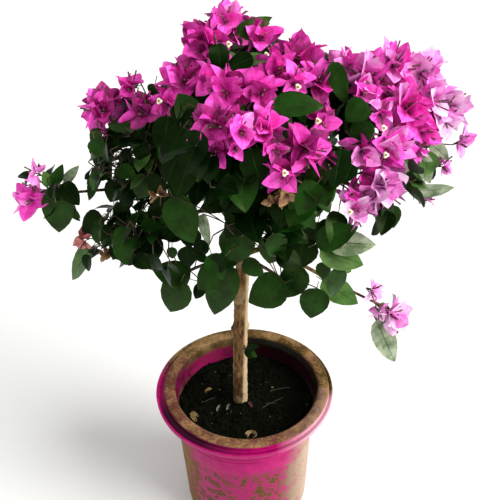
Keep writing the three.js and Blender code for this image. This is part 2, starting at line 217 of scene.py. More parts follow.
# The heads of blossom: the limb that bears each, its middle, its reach and its tint. Most are
# given by their middle's pixel in the photograph, across and down, and its depth. The last three
# finish the back.
Head = namedtuple("Head", "limb middle reach tint")
SEEN_HEADS = [
    ("top", 206, 48, 0.010, 0.021, "deep"),
    ("top", 225, 24, 0.030, 0.017, "rose"),
    ("top", 219, 55, 0, 0.011, "magenta"),
    ("top", 207, 83, -0.030, 0.016, "magenta"),
    ("top", 260, 40, 0.030, 0.017, "magenta"),
    ("top_right", 297, 61, 0.010, 0.023, "magenta"),
    ("top_right", 275, 74, -0.020, 0.017, "magenta"),
    ("top_right", 318, 84, -0.020, 0.018, "magenta"),
    ("top_right", 292, 84, -0.045, 0.015, "magenta"),
    ("top_right", 256, 85, -0.040, 0.01, "deep"),
    ("top", 186, 83, -0.020, 0.019, "magenta"),
    ("top", 168, 104, -0.030, 0.013, "magenta"),
    ("left", 145, 115, -0.030, 0.016, "magenta"),
    ("left", 104, 111, -0.005, 0.018, "magenta"),
    ("left", 131, 87, 0.010, 0.012, "magenta"),
    ("front", 227, 92, -0.080, 0.017, "magenta"),
    ("front", 259, 94, -0.080, 0.017, "magenta"),
    ("front", 216, 127, -0.120, 0.019, "deep"),
    ("front", 240, 130, -0.135, 0.014, "rose"),
    ("front", 235, 146, -0.130, 0.011, "magenta"),
    ("front", 264, 130, -0.120, 0.018, "rose"),
    ("front", 274, 147, -0.125, 0.011, "magenta"),
    ("front", 215, 151, -0.125, 0.012, "deep"),
    ("front_right", 303, 147, -0.125, 0.019, "deep"),
    ("front_right", 326, 160, -0.115, 0.012, "deep"),
    ("front_right", 284, 173, -0.135, 0.0145, "magenta"),
    ("front_right", 320, 122, -0.085, 0.014, "deep"),
    ("right", 346, 69, 0.020, 0.016, "vivid"),
    ("right", 369, 80, 0, 0.022, "vivid"),
    ("right", 360, 93, -0.020, 0.014, "rose"),
    ("right", 379, 113, -0.040, 0.013, "rose"),
    ("right_front", 362, 172, -0.075, 0.012, "rose"),
    ("right", 391, 68, 0.010, 0.021, "vivid"),
    ("right", 419, 75, 0.010, 0.02, "pale"),
    ("right", 404, 110, -0.020, 0.027, "vivid"),
    ("right", 386, 98, 0, 0.018, "vivid"),
    ("right_outer", 429, 101, -0.010, 0.019, "pale"),
    ("right_outer", 447, 106, 0, 0.017, "palest"),
    ("right_outer", 445, 122, -0.010, 0.013, "palest"),
    ("right_outer", 420, 132, -0.020, 0.018, "vivid"),
    ("right_outer", 458, 142, 0, 0.012, "palest"),
    ("right_outer", 415, 149, -0.035, 0.01, "orchid"),
    ("right_outer", 442, 165, -0.010, 0.009, "orchid"),
    ("right_outer", 426, 201, -0.010, 0.008, "palest"),
    ("right_front", 386, 148, -0.055, 0.022, "vivid"),
    ("right_front", 360, 150, -0.060, 0.017, "rose"),
    ("right_front", 378, 186, -0.075, 0.022, "pale"),
    ("right_front", 353, 208, -0.085, 0.018, "pale"),
    ("right_front", 349, 192, -0.080, 0.013, "rose"),
    ("far_left", 33, 200, -0.020, 0.016, "orchid"),
    ("far_left", 37, 174, -0.020, 0.01, "pale"),
    ("low_right", 371, 290, -0.040, 0.011, "palest"),
    ("low_right", 389, 314, -0.045, 0.017, "palest"),
    ("low_right", 379, 310, -0.050, 0.009, "palest"),
    ("left_low", 85, 239, -0.045, 0.01, "salmon"),
    ("left_low", 106, 255, -0.050, 0.007, "dry"),
    ("left_low", 158, 196, -0.085, 0.007, "dry"),
    ("front_right", 286, 192, -0.140, 0.009, "dry"),
    ("front_right", 273, 203, -0.140, 0.007, "dry"),
    ("back", 232, 34, 0.110, 0.024, "magenta"),
    ("back", 262, 60, 0.130, 0.022, "rose"),
    ("back", 205, 66, 0.130, 0.022, "magenta"),
    ("back", 236, 84, 0.165, 0.02, "magenta"),
    ("back_left", 178, 104, 0.110, 0.022, "magenta"),
    ("back_left", 150, 122, 0.120, 0.02, "magenta"),
    ("back_left", 134, 122, 0.085, 0.02, "rose"),
    ("left", 124, 110, 0.050, 0.014, "magenta"),
    ("back_right", 304, 84, 0.110, 0.022, "magenta"),
    ("back_right", 338, 94, 0.120, 0.02, "rose"),
    ("back_right", 366, 100, 0.090, 0.022, "magenta"),
    ("right_outer", 428, 102, 0.050, 0.018, "rose"),
]
HEADS = [
    *(Head(limb, seen(*pixel), reach, tint) for limb, *pixel, reach, tint in SEEN_HEADS),
    Head("back_low", (0.035, 0.165, 0.520), 0.014, "rose"),
    Head("back_left", (-0.060, 0.160, 0.560), 0.014, "orchid"),
    Head("back_right", (0.090, 0.155, 0.560), 0.014, "magenta"),
]

# Single leaves that stand out from the crown: the limb that bears each, its root and tip, each
# by pixel and depth, its width, its turn about its own length in degrees, and its tone.
Lone = namedtuple("Lone", "limb root tip width turn tone")
SEEN_LEAVES = [
    ("far_left", (59, 190, -0.030), (56, 236, -0.040), 0.040, 0, "green"),
    ("far_left", (50, 186, -0.028), (44, 172, -0.030), 0.014, 20, "fresh"),
    ("far_left", (54, 184, -0.026), (62, 166, -0.030), 0.014, 30, "green"),
    ("far_left", (64, 182, -0.022), (78, 167, -0.026), 0.012, 30, "pale"),
    ("far_left", (56, 182, -0.026), (48, 178, -0.030), 0.014, 10, "green"),
    ("far_left", (68, 208, -0.030), (80, 219, -0.035), 0.012, 30, "green"),
    ("left_low", (92, 247, -0.050), (66, 279, -0.055), 0.035, 30, "fresh"),
    ("left_low", (103, 217, -0.045), (80, 230, -0.050), 0.030, 0, "dark"),
    ("left", (101, 170, -0.030), (84, 200, -0.040), 0.027, 35, "green"),
    ("left", (97, 128, -0.020), (95, 152, -0.030), 0.018, 20, "green"),
    ("left", (118, 182, -0.040), (108, 203, -0.045), 0.025, 0, "dark"),
    ("left", (132, 186, -0.050), (118, 206, -0.055), 0.027, 20, "dark"),
    ("left", (147, 176, -0.060), (136, 200, -0.065), 0.027, 0, "green"),
    ("left", (162, 178, -0.070), (148, 192, -0.075), 0.026, 0, "dark"),
    ("left", (165, 198, -0.070), (160, 222, -0.075), 0.029, 10, "dark"),
    ("left", (184, 180, -0.080), (168, 198, -0.085), 0.028, 0, "dark"),
    ("left_low", (128, 206, -0.055), (112, 222, -0.060), 0.024, 0, "dark"),
    ("left_low", (152, 222, -0.065), (140, 244, -0.070), 0.029, 0, "dark"),
    ("left_low", (172, 222, -0.070), (160, 240, -0.075), 0.026, 0, "dark"),
    ("left", (155, 84, -0.010), (152, 96, -0.015), 0.015, 0, "green"),
    ("left_low", (139, 236, -0.070), (125, 268, -0.075), 0.034, 0, "dark"),
    ("left_low", (150, 234, -0.070), (155, 263, -0.080), 0.028, 10, "dark"),
    ("left_low", (112, 226, -0.050), (101, 247, -0.055), 0.024, 0, "dark"),
    ("left_low", (118, 240, -0.055), (110, 261, -0.060), 0.019, 20, "dark"),
    ("left_low", (178, 224, -0.065), (166, 243, -0.068), 0.027, 0, "dark"),
    ("low_left", (192, 226, -0.065), (186, 249, -0.068), 0.029, 0, "dark"),
    ("low_left", (204, 240, -0.062), (197, 258, -0.064), 0.020, 0, "dark"),
    ("low_left", (172, 247, -0.060), (172, 260, -0.062), 0.013, 0, "green"),
    ("low_left", (186, 246, -0.060), (190, 269, -0.064), 0.024, 0, "dark"),
    ("low_left", (196, 254, -0.062), (209, 262, -0.066), 0.012, 0, "green"),
    ("low_left", (190, 279, -0.060), (153, 268, -0.065), 0.035, 0, "green"),
    ("low_left", (182, 280, -0.065), (167, 315, -0.070), 0.041, 0, "green"),
    ("low_left", (222, 266, -0.092), (195, 290, -0.097), 0.033, 0, "green"),
    ("low_left", (203, 284, -0.066), (194, 300, -0.070), 0.016, 0, "dark"),
    ("low_left", (229, 264, -0.078), (211, 320, -0.088), 0.041, 0, "green"),
    ("front_low", (229, 199, -0.092), (198, 210, -0.098), 0.022, 0, "dark"),
    ("front_low", (226, 192, -0.094), (216, 214, -0.100), 0.020, 20, "dark"),
    ("low_middle", (246, 214, -0.096), (223, 238, -0.104), 0.027, 0, "dark"),
    ("low_middle", (240, 228, -0.090), (232, 267, -0.100), 0.042, 0, "green"),
    ("low_middle", (238, 256, -0.088), (212, 264, -0.094), 0.022, 0, "green"),
    ("low_middle", (243, 261, -0.080), (265, 276, -0.085), 0.021, 10, "green"),
    ("low_middle", (285, 283, -0.085), (247, 302, -0.095), 0.044, 0, "green"),
    ("low_middle", (304, 268, -0.072), (278, 299, -0.082), 0.036, 0, "green"),
    ("low_middle", (317, 288, -0.080), (310, 321, -0.090), 0.036, 0, "green"),
    ("low_middle", (276, 236, -0.090), (268, 266, -0.096), 0.034, 0, "green"),
    ("right_low", (304, 238, -0.090), (298, 271, -0.100), 0.038, 0, "dark"),
    ("right_low", (318, 222, -0.090), (311, 246, -0.095), 0.026, 0, "dark"),
    ("right_low", (324, 262, -0.080), (322, 281, -0.085), 0.018, 10, "green"),
    ("right_low", (322, 280, -0.070), (360, 306, -0.080), 0.031, 15, "fresh"),
    ("right_low", (328, 242, -0.090), (377, 244, -0.095), 0.031, 5, "pale"),
    ("right_low", (320, 248, -0.090), (366, 266, -0.095), 0.034, 10, "fresh"),
    ("right_low", (316, 244, -0.105), (357, 226, -0.108), 0.030, 0, "green"),
    ("right_low", (338, 262, -0.080), (352, 272, -0.085), 0.020, 0, "fresh"),
    ("front_low", (244, 202, -0.100), (223, 221, -0.105), 0.027, 0, "dark"),
    ("right", (367, 103, -0.050), (345, 120, -0.060), 0.029, 0, "green"),
    ("right", (370, 121, -0.055), (350, 145, -0.065), 0.026, 0, "green"),
    ("front_right", (341, 148, -0.110), (334, 188, -0.150), 0.026, 0, "dark"),
    ("front_right", (352, 164, -0.110), (345, 182, -0.130), 0.017, 0, "dark"),
    ("front_low", (222, 178, -0.090), (210, 205, -0.095), 0.028, 0, "dark"),
    ("front_low", (245, 180, -0.095), (234, 206, -0.100), 0.030, 0, "dark"),
    ("front_low", (256, 196, -0.100), (246, 226, -0.105), 0.032, 0, "dark"),
    ("right_front", (390, 206, -0.050), (395, 230, -0.055), 0.023, 0, "green"),
    ("low_right", (376, 320, -0.050), (398, 368, -0.055), 0.030, 10, "pale"),
    ("right_outer", (401, 155, -0.040), (424, 186, -0.045), 0.024, 0, "pale"),
    ("right_outer", (420, 153, -0.035), (432, 186, -0.040), 0.020, 10, "pale"),
    ("right_outer", (411, 190, -0.030), (456, 192, -0.035), 0.023, 60, "pale"),
    ("right_outer", (431, 144, -0.010), (450, 160, -0.015), 0.018, 20, "pale"),
    ("top", (237, 33, 0.025), (273, 20, 0.025), 0.024, 60, "fresh"),
    ("top", (253, 57, -0.030), (223, 70, -0.035), 0.022, 0, "dark"),
    ("left", (179, 155, -0.078), (163, 184, -0.083), 0.027, 0, "dark"),
    ("top_right", (333, 62, -0.030), (346, 106, -0.045), 0.021, 15, "green"),
    ("front", (274, 104, -0.100), (325, 104, -0.105), 0.027, 0, "green"),
    ("front", (168, 116, -0.085), (162, 159, -0.100), 0.029, 0, "dark"),
    ("front", (250, 148, -0.130), (263, 192, -0.140), 0.031, 0, "dark"),
    ("front_low", (172, 196, -0.095), (195, 246, -0.110), 0.038, 0, "green"),
    ("front_low", (203, 214, -0.090), (206, 247, -0.100), 0.016, 35, "pale"),
    ("front_right", (292, 196, -0.130), (316, 232, -0.140), 0.022, 20, "green"),
    ("front_right", (322, 168, -0.125), (305, 196, -0.135), 0.024, 10, "green"),
    ("trunk", (246, 349, -0.013), (258, 346, -0.024), 0.011, 0, "dark"),
    ("trunk", (246, 350, -0.013), (257, 357, -0.022), 0.011, 0, "green"),
    ("trunk", (246, 349, -0.013), (250, 359, -0.028), 0.009, 20, "dark"),
]
LONE_LEAVES = [
    Lone(limb, seen(*root), seen(*tip), *look) for limb, root, tip, *look in SEEN_LEAVES
]

# Openings between the boughs, where the photograph shows the floor through the crown or past its
# edge: a pixel and depth on the line of sight, and the opening's radius there.
SEEN_OPENINGS = [
    (217, 221, -0.03, 0.019),
    (338, 170, -0.12, 0.008),
    (79, 182, -0.02, 0.008),
    (92, 210, -0.03, 0.005),
    (444, 182, -0.01, 0.011),
    (120, 148, -0.03, 0.005),
    (132, 208, -0.03, 0.003),
    (148, 214, -0.03, 0.004),
    (107, 228, -0.04, 0.005),
    (75, 125, 0, 0.024),
    (72, 158, 0, 0.018),
    (96, 199, -0.02, 0.007),
    (172, 26, 0.03, 0.020),
    (166, 52, 0.02, 0.014),
    (126, 66, 0, 0.012),
    (402, 38, 0.02, 0.011),
    (258, 319, -0.05, 0.012),
    (362, 228, -0.06, 0.011),
    (198, 6, 0.03, 0.016),
    (70, 245, -0.03, 0.018),
    (108, 282, -0.04, 0.025),
    (137, 292, -0.04, 0.025),
    (170, 253, -0.05, 0.015),
    (192, 271, -0.05, 0.011),
    (212, 244, -0.05, 0.012),
    (196, 300, -0.05, 0.015),
    (257, 252, -0.05, 0.011),
    (272, 269, -0.06, 0.012),
    (312, 277, -0.06, 0.014),
    (240, 275, -0.06, 0.014),
    (30, 228, -0.02, 0.018),
    (48, 240, -0.02, 0.014),
    (232, 201, -0.05, 0.003),
    (212, 180, -0.05, 0.003),
    (118, 168, -0.03, 0.003),
    (328, 212, -0.06, 0.004),
    (368, 282, -0.04, 0.025),
    (387, 252, -0.04, 0.022),
    (412, 228, -0.03, 0.022),
    (400, 182, -0.02, 0.005),
    (60, 95, 0, 0.025),
    (322, 28, 0.02, 0.017),
    (345, 36, 0.02, 0.013),
    (137, 232, -0.04, 0.002),
    (106, 181, -0.02, 0.004),
    (170, 172, -0.05, 0.002),
    (52, 134, 0, 0.022),
    (104, 68, 0.01, 0.016),
    (149, 86, 0, 0.010),
    (86, 76, 0, 0.012),
    (291, 23, 0.02, 0.014),
    (374, 41, 0.02, 0.013),
]
OPENINGS = [(seen(*pixel), radius) for *pixel, radius in SEEN_OPENINGS]

# The edge of a small opening may be covered, and that of a wider one than this may not.
SMALL_OPENING = 0.010
WIDE_OPENINGS = [opening for opening in OPENINGS if opening[1] > SMALL_OPENING]

# A head of blossom past this depth is on the side that the camera doesn't see.
HIDDEN_DEPTH = 0.075

# The small true flowers at the tips of flower tubes: the ones that the photograph shows, and the
# share of tubes that bear one round the back.
SEEN_STARS = [
    (159, 101, -0.050),
    (318, 121, -0.106),
    (386, 155, -0.090),
    (384, 128, -0.080),
    (285, 173, -0.160),
    (350, 212, -0.115),
    (298, 87, -0.070),
    (229, 44, -0.020),
]
STAR_RADIUS = 0.0036
STAR_SHARE = 0.04

# Main twigs are this many times those of the source, and by mass this many times that again. Some
# masses have small leaves, at this scale.
FINER = 2.4
DENSITY = {
    "top": 1.4,
    "core": 2.5,
    "top_right": 1.5,
    "front": 1.5,
    "front_right": 1.4,
    "front_low": 1.4,
    "right": 1.5,
    "right_front": 1.3,
    "low_left": 0.12,
    "low_middle": 0.12,
    "right_low": 0.5,
    "low_right": 0.2,
    "far_left": 0.4,
    "left": 1.7,
    "left_low": 1.4,
    "right_outer": 0.25,
}
SMALL_LEAVED = ["left", "left_low", "far_left", "back_left"]
SMALL_LEAF = 0.64

# A main twig is drawn back by steps, as shares of the mass's reach, until its tip is in its mass's
# space, and then by this share of a leaf's length. The first ones leave the stem at its tip and
# the last at this share of the way back.
REACH_STEP = 0.05
LEAST_REACH = 0.3
LEAF_ROOM = 0.45
STEM_SPAN = 0.85
LEAST_TWIG = 0.016
TWIG_RADIUS = 0.0011
TWIG_TIP_RADIUS = 0.0007
THIN_RADII = (TWIG_TIP_RADIUS, TWIG_TIP_RADIUS)

# Side twigs leave a main twig at these shares of its length, at this angle, with this share of it.
SIDE_STATIONS = [0.40, 0.68]
SIDE_ANGLE = math.radians(48)
SIDE_LENGTH = 0.55
LEAST_SIDE_TWIG = 0.014

# A lone leaf's twig leaves the nearest of this many places along its limb.
LIMB_STEPS = 40

# Leaves stand this far apart from a twig's tip back to this share of its length, on stalks. One
# may reach a little past its mass, as a share of the reach.
LEAF_SPACING = 0.020
LEAVES_A_TWIG = 3
LAST_STATION = 0.15
PETIOLE = 0.009
LEAF_LIMIT = 1.02

# A leaf is kept out of a head of blossom, up to this share of its reach, and out of the view of
# it for this far in front. The number of flowers is set for a head of the full reach.
HEAD_CORE = 0.95
BLOSSOM_VIEW = 0.12
FULL_HEAD = 0.024
HEAD_SEED = 101
BLOSSOM_SEED = 301

# The twig that bears a head leaves the stem at this share of the way back from its tip. It forks
# into flower stalks this far in from the head's middle, as a share of the head's reach.
HEAD_TWIG = 0.4
HEAD_FORK = 0.6

# The thickness of the leaves and bracts, the least arch that they are bent by, the height of the
# waves at their edges as a share of their length, and the radii of stalks and flower tubes.
LEAF_THICKNESS = 0.0004
BRACT_THICKNESS = 0.0003
LEAST_ARCH = 0.02
WAVE_HEIGHT = 0.035
STALK_RADII = (0.0006, 0.0005)
FLOWER_TUBE_RADII = (0.0006, 0.0010)


def dice(seed):
    """A random number source that gives the same numbers for the same seed, as in the source."""
    state = seed

    def roll(low, high):
        nonlocal state
        state = (state * 1664525 + 1013904223) % 4294967296
        return low + (high - low) * state / 4294967296

    return roll


def lerp(low, high, share):
    """The value at a share of the way from one to another."""
    return low + (high - low) * share


def fan(count, k):
    """Direction k of a count that spread evenly over a sphere, from the top down."""
    height = 1 - 2 * (k + 0.5) / count
    flat = math.sqrt(1 - height * height)
    turn = k * GOLDEN_ANGLE
    return Vector((flat * math.cos(turn), flat * math.sin(turn), height))


def square_to(direction):
    """A direction square to another one."""
    steep = abs(direction.z) >= 0.8 * direction.length
    return direction.cross(FRONT if steep else UP).normalized()


# Growth: the limbs, twigs, leaves and flowers as plain sizes and places.

Tube = namedtuple("Tube", "start control tip root_radius tip_radius")
Blade = namedtuple("Blade", "root along facing length width arch fold wave")
Flower = namedtuple("Flower", "root axis bracts tint")
Spray = namedtuple("Spray", "tubes leaves tone")


def straight(start, tip, radii, share=0.5):
    """A straight tube, with its control point at a share of the way."""
    return Tube(start, start.lerp(tip, share), tip, *radii)


def along_tube(tube, share):
    """The place at a share of a tube's length."""
    return (
        tube.start * (1 - share) ** 2
        + tube.control * (2 * share * (1 - share))
        + tube.tip * share**2
    )


def distances(point):
    """How far a point is from each mass's middle, where 1 is the mass's reach."""
    return np.linalg.norm((np.array(point) - MIDDLES) / REACHES, axis=1)


def in_space(point, own):
    """Whether a point is within a mass's reach and nearer to it than to any other mass."""
    away = distances(point)
    mine = away[own]
    away[own] = np.inf
    return mine <= 1 and away.min() > mine + SPACE_MARGIN


def grow_limbs():
    """The trunk, and a limb for each mass that runs from its parent to the mass's middle. Each is
    a tube and the share of its length where it enters the mass."""
    tip = TRUNK_FOOT + TRUNK_LEAN + UP * TRUNK_HEIGHT
    middle = TRUNK_FOOT + UP * TRUNK_HEIGHT / 2
    trunk = Tube(TRUNK_FOOT, middle, tip, TRUNK_FOOT_RADIUS, TRUNK_TIP_RADIUS)
    limbs = {"trunk": (trunk, 1.0)}
    for own, mass in enumerate(MASSES):
        parent, parent_end = limbs[mass.parent]
        middle = Vector(mass.middle)
        start = along_tube(parent, mass.leaves * parent_end)
        control = start.lerp(middle, BOUGH_BEND) + UP * mass.rise
        limb = Tube(start, control, middle, mass.radius, STEM_TIP_RADIUS)
        end = FIRST_ENTRY
        while end < LAST_ENTRY and not in_space(along_tube(limb, end), own):
            end += ENTRY_STEP
        limbs[mass.name] = (limb, end)
    return limbs


def outward_from(point):
    """The way out of the crown at a point, turned a little upwards."""
    return ((point - CROWN_MIDDLE).normalized() + UP * 0.4).normalized()


def in_blossom(point):
    """Whether a point is inside a head of blossom, or would hide one from its open side."""
    for head in HEADS:
        middle = Vector(head.middle)
        away = point - middle
        facing = -SIGHT if middle.y < HIDDEN_DEPTH else outward_from(middle)
        out = away.dot(facing)
        aside = (away - facing * max(out, 0)).length
        if aside < head.reach * HEAD_CORE and out < BLOSSOM_VIEW:
            return True
    return False


def in_opening(point, openings, spare=0):
    """Whether a point, with some room to spare round it, would close one of the openings, as the
    camera sees it."""
    away = point - CAMERA_PLACE
    for middle, radius in openings:
        line = (middle - CAMERA_PLACE).normalized()
        aside = away - line * away.dot(line)
        if aside.length < spare + radius * away.length / (middle - CAMERA_PLACE).length:
            return True
    return False


def is_free(leaf, own):
    """Whether a leaf keeps to its mass's reach and out of the blossom and the openings."""
    across = leaf.along.cross(leaf.facing).normalized() * leaf.width * 0.4
    tip = leaf.root + leaf.along * leaf.length
    middle = leaf.root.lerp(tip, 0.5)
    if distances(tip)[own] > LEAF_LIMIT:
        return False
    if in_opening(middle, OPENINGS, leaf.width * 0.32):
        return False
    places = [middle, tip, middle + across, middle - across]
    return not any(in_blossom(place) or in_opening(place, WIDE_OPENINGS) for place in places)


def leaf_at(root, ahead, angle, outward, roll, size, scale):
    """A leaf stands out from its twig at an angle about it, on its stalk, and hangs by its own
    weight."""
    aside = Quaternion(ahead, angle) @ square_to(ahead)
    droop = roll(0.1, 0.9)
    along = (aside * 0.8 + ahead * 0.55 - UP * droop).normalized()
    tilt = Vector((roll(-1, 1), roll(-1, 1), roll(-1, 1))) * 0.25
    facing = outward * 0.5 + UP * 0.8 + tilt
    scale *= roll(0.62, 1.05)
    return Blade(
        root + along * PETIOLE,
        along,
        facing,
        size.leaf_length * scale,
        size.leaf_width * scale * roll(0.9, 1.08),
        roll(0.25, 1.0),
        roll(0.05, 0.35),
        roll(-1, 1),
    )


def leaves_along(tube, outward, own, count, roll, size, scale):
    """Leaves at even steps back from a twig's tip, turned by the golden angle from one to the
    next, and the share of the twig's length where the last one stands. A leaf that isn't free
    is left out."""
    leaves = []
    end = 0
    length = (tube.tip - tube.start).length
    ahead = (tube.tip - tube.control).normalized()
    turn = roll(0, math.tau)
    for k in range(count):
        share = 1 - k * LEAF_SPACING * scale / length
        if share < LAST_STATION:
            break
        root = along_tube(tube, share)
        leaf = leaf_at(root, ahead, turn + k * GOLDEN_ANGLE, outward, roll, size, scale)
        if is_free(leaf, own):
            leaves.append(leaf)
            end = max(end, share)
    return leaves, end


def cut(tube, share):
    """A tube cut off at a share of its length, where the last thing that it carries stands."""
    control = tube.start.lerp(tube.control, share)
    radius = lerp(tube.root_radius, tube.tip_radius, share)
    return Tube(tube.start, control, along_tube(tube, share), tube.root_radius, radius)


def main_tip(own, mass, direction, leaf_length):
    """Where a main twig ends: as far out from its mass's middle as the mass's space goes, less room
    for the leaf at its end."""
    middle = Vector(mass.middle)
    reach = Vector(mass.reach) * direction
    far = 1
    while far > LEAST_REACH and not in_space(middle + reach * far, own):
        far -= REACH_STEP
    length = max(far * reach.length - LEAF_ROOM * leaf_length, LEAST_TWIG)
    return middle + reach.normalized() * length


def side_twig(twig, station, roll):
    """A straight twig that leaves a main one at a share of its length."""
    main = twig.tip - twig.start
    ahead = main.normalized()
    turn = Quaternion(ahead, roll(0, math.tau)) @ square_to(ahead)
    lean = ahead * math.cos(SIDE_ANGLE) + turn * math.sin(SIDE_ANGLE)
    root = along_tube(twig, station)
    tip = root + lean * max(SIDE_LENGTH * main.length, LEAST_SIDE_TWIG)
    return straight(root, tip, THIN_RADII)


def grow_twigs(twig, outward, own, roll, size, scale):
    """A main twig and its side twigs, each cut off where its last leaf stands, and their leaves."""
    tubes = []
    leafy = round(LEAVES_A_TWIG / scale)
    leaves, end = leaves_along(twig, outward, own, leafy, roll, size, scale)
    for station in SIDE_STATIONS:
        side = side_twig(twig, station, roll)
        if not in_space(side.tip, own):
            continue
        more, side_end = leaves_along(side, outward, own, leafy - 1, roll, size, scale)
        if more:
            tubes.append(cut(side, side_end))
            leaves += more
            end = max(end, station)
    if leaves:
        tubes.append(cut(twig, end))
    return tubes, leaves


def grow_sprays(limbs, size):
    """The sprays of every mass. A spray is one main twig with its side twigs and leaves. Main
    twigs leave the mass's stem and fan out evenly."""
    sprays = []
    for own, mass in enumerate(MASSES):
        roll = dice(own + 1)
        limb, stem_start = limbs[mass.name]
        scale = SMALL_LEAF if mass.name in SMALL_LEAVED else 1
        count = round(mass.twigs * FINER * DENSITY.get(mass.name, 1))
        for k in range(count):
            start = along_tube(limb, lerp(1, stem_start, STEM_SPAN * k / count))
            tip = main_tip(own, mass, fan(count, k), size.leaf_length * scale)
            outward = (tip - CROWN_MIDDLE).normalized()
            bow = UP * roll(-0.1, 0.25) * (tip - start).length
            twig = Tube(start, start.lerp(tip, 0.5) + bow, tip, TWIG_RADIUS, TWIG_TIP_RADIUS)
            tubes, leaves = grow_twigs(twig, outward, own, roll, size, scale)
            if leaves:
                sprays.append(Spray(tubes, leaves, dealt_tone(mass.name, roll(0, 1))))
    return sprays


def dealt_tone(name, share):
    """The tone of leaf that a spray is dealt. The thin outer growth on the right is paler, a
    painted sheen where the light falls on it.
    """
    shares = OUTER_SHARES if name in SHEEN_MASSES else LEAF_SHARES
    return next(tone for tone, upto in shares.items() if share <= upto)


def grow_lone_leaves(limbs):
    """The single leaves that stand out from the crown, each on a twig of its own."""
    sprays = []
    for lone in LONE_LEAVES:
        limb = limbs[lone.limb][0]
        line = [along_tube(limb, i / LIMB_STEPS) for i in range(LIMB_STEPS + 1)]
        start = min(line, key=lambda point: (point - lone.root).length)
        along = lone.tip - lone.root
        facing = Quaternion(along.normalized(), math.radians(lone.turn)) @ (UP * 0.3 - SIGHT)
        bow = UP * 0.12 * (lone.root - start).length
        twig = Tube(start, start.lerp(lone.root, 0.5) + bow, lone.root, *THIN_RADII)
        leaf = Blade(lone.root, along.normalized(), facing, along.length, lone.width, 0.3, 0.12, 0.3)
        sprays.append(Spray([twig], [leaf], lone.tone))
    return sprays


def grow_heads(limbs, size):
    """The heads of blossom: the twig that bears each one, and flowers on short stalks that fan
    out from its tip and face away from the crown."""
    tubes = []
    flowers = []
    for index, head in enumerate(HEADS):
        roll = dice(index + HEAD_SEED)
        limb, stem_start = limbs[head.limb]
        middle = Vector(head.middle)
        outward = outward_from(middle)
        start = along_tube(limb, lerp(1, stem_start, HEAD_TWIG))
        fork = middle - outward * head.reach * HEAD_FORK
        tubes.append(straight(start, fork, (TWIG_RADIUS, TWIG_TIP_RADIUS)))
        count = max(2, round(size.flowers_a_head * (head.reach / FULL_HEAD) ** 1.5))
        for k in range(count):
            away = fan(count, k)
            if away.dot(outward) < -0.5 and count > 3:
                continue
            astray = Vector((roll(-1, 1), roll(-1, 1), roll(-1, 1))) * 0.35
            axis = (away + outward * 0.5 + astray).normalized()
            length = min(size.bract_length, head.reach * 1.7) * roll(0.8, 1.08)
            root = middle + away * max(head.reach * roll(1.08, 1.26) - length, 0.002)
            tubes.append(straight(fork, root, THIN_RADII, 0.6))
            flowers.append(flower_at(root, axis, length, head.tint, roll, size))
    return tubes, flowers


def flower_at(root, axis, length, tint, roll, size):
    """Three bracts stand round a flower's axis like an open cup."""
    bracts = []
    turn = roll(0, 2)
    open_by = roll(0.5, 1.15)
    for i in range(3):
        around = Quaternion(axis, turn + i * math.tau / 3) @ square_to(axis)
        lean = open_by + roll(-0.15, 0.15)
        along = around * math.sin(lean) + axis * math.cos(lean)
        width = length * size.bract_width / size.bract_length * roll(0.92, 1.08)
        bracts.append(
            Blade(root, along, axis, length, width, roll(-0.6, 0.9), roll(0.1, 0.5), roll(-1.6, 1.6))
        )
    return Flower(root, axis, bracts, tint)


# Shapes: templates made by bmesh operators, and copies of them joined into one mesh by arrays.


class Template:
    """The corners and faces of a small shape, held as arrays."""

    def __init__(self, bm):
        mesh = bpy.data.meshes.new("template")
        bm.to_mesh(mesh)
        bm.free()
        self.verts = np.empty(len(mesh.vertices) * 3)
        mesh.vertices.foreach_get("co", self.verts)
        self.verts = self.verts.reshape(-1, 3)
        self.corners = np.empty(len(mesh.loops), int)
        mesh.loops.foreach_get("vertex_index", self.corners)
        self.starts = np.empty(len(mesh.polygons), int)
        mesh.polygons.foreach_get("loop_start", self.starts)
        self.slots = np.empty(len(mesh.polygons), int)
        mesh.polygons.foreach_get("material_index", self.slots)
        bpy.data.meshes.remove(mesh)


def joined(name, template, places):
    """One mesh of copies of a template, from an array of where each copy's vertices are."""
    copies, size = places.shape[:2]
    steps = np.arange(copies)[:, None]
    mesh = bpy.data.meshes.new(name)
    mesh.vertices.add(copies * size)
    mesh.vertices.foreach_set("co", places.astype(np.float32).ravel())
    mesh.loops.add(copies * len(template.corners))
    mesh.loops.foreach_set("vertex_index", (template.corners + steps * size).ravel())
    mesh.polygons.add(copies * len(template.starts))
    mesh.polygons.foreach_set("loop_start", (template.starts + steps * len(template.corners)).ravel())
    mesh.polygons.foreach_set("material_index", np.tile(template.slots, copies))
    mesh.update(calc_edges=True)
    mesh.validate()
    return mesh


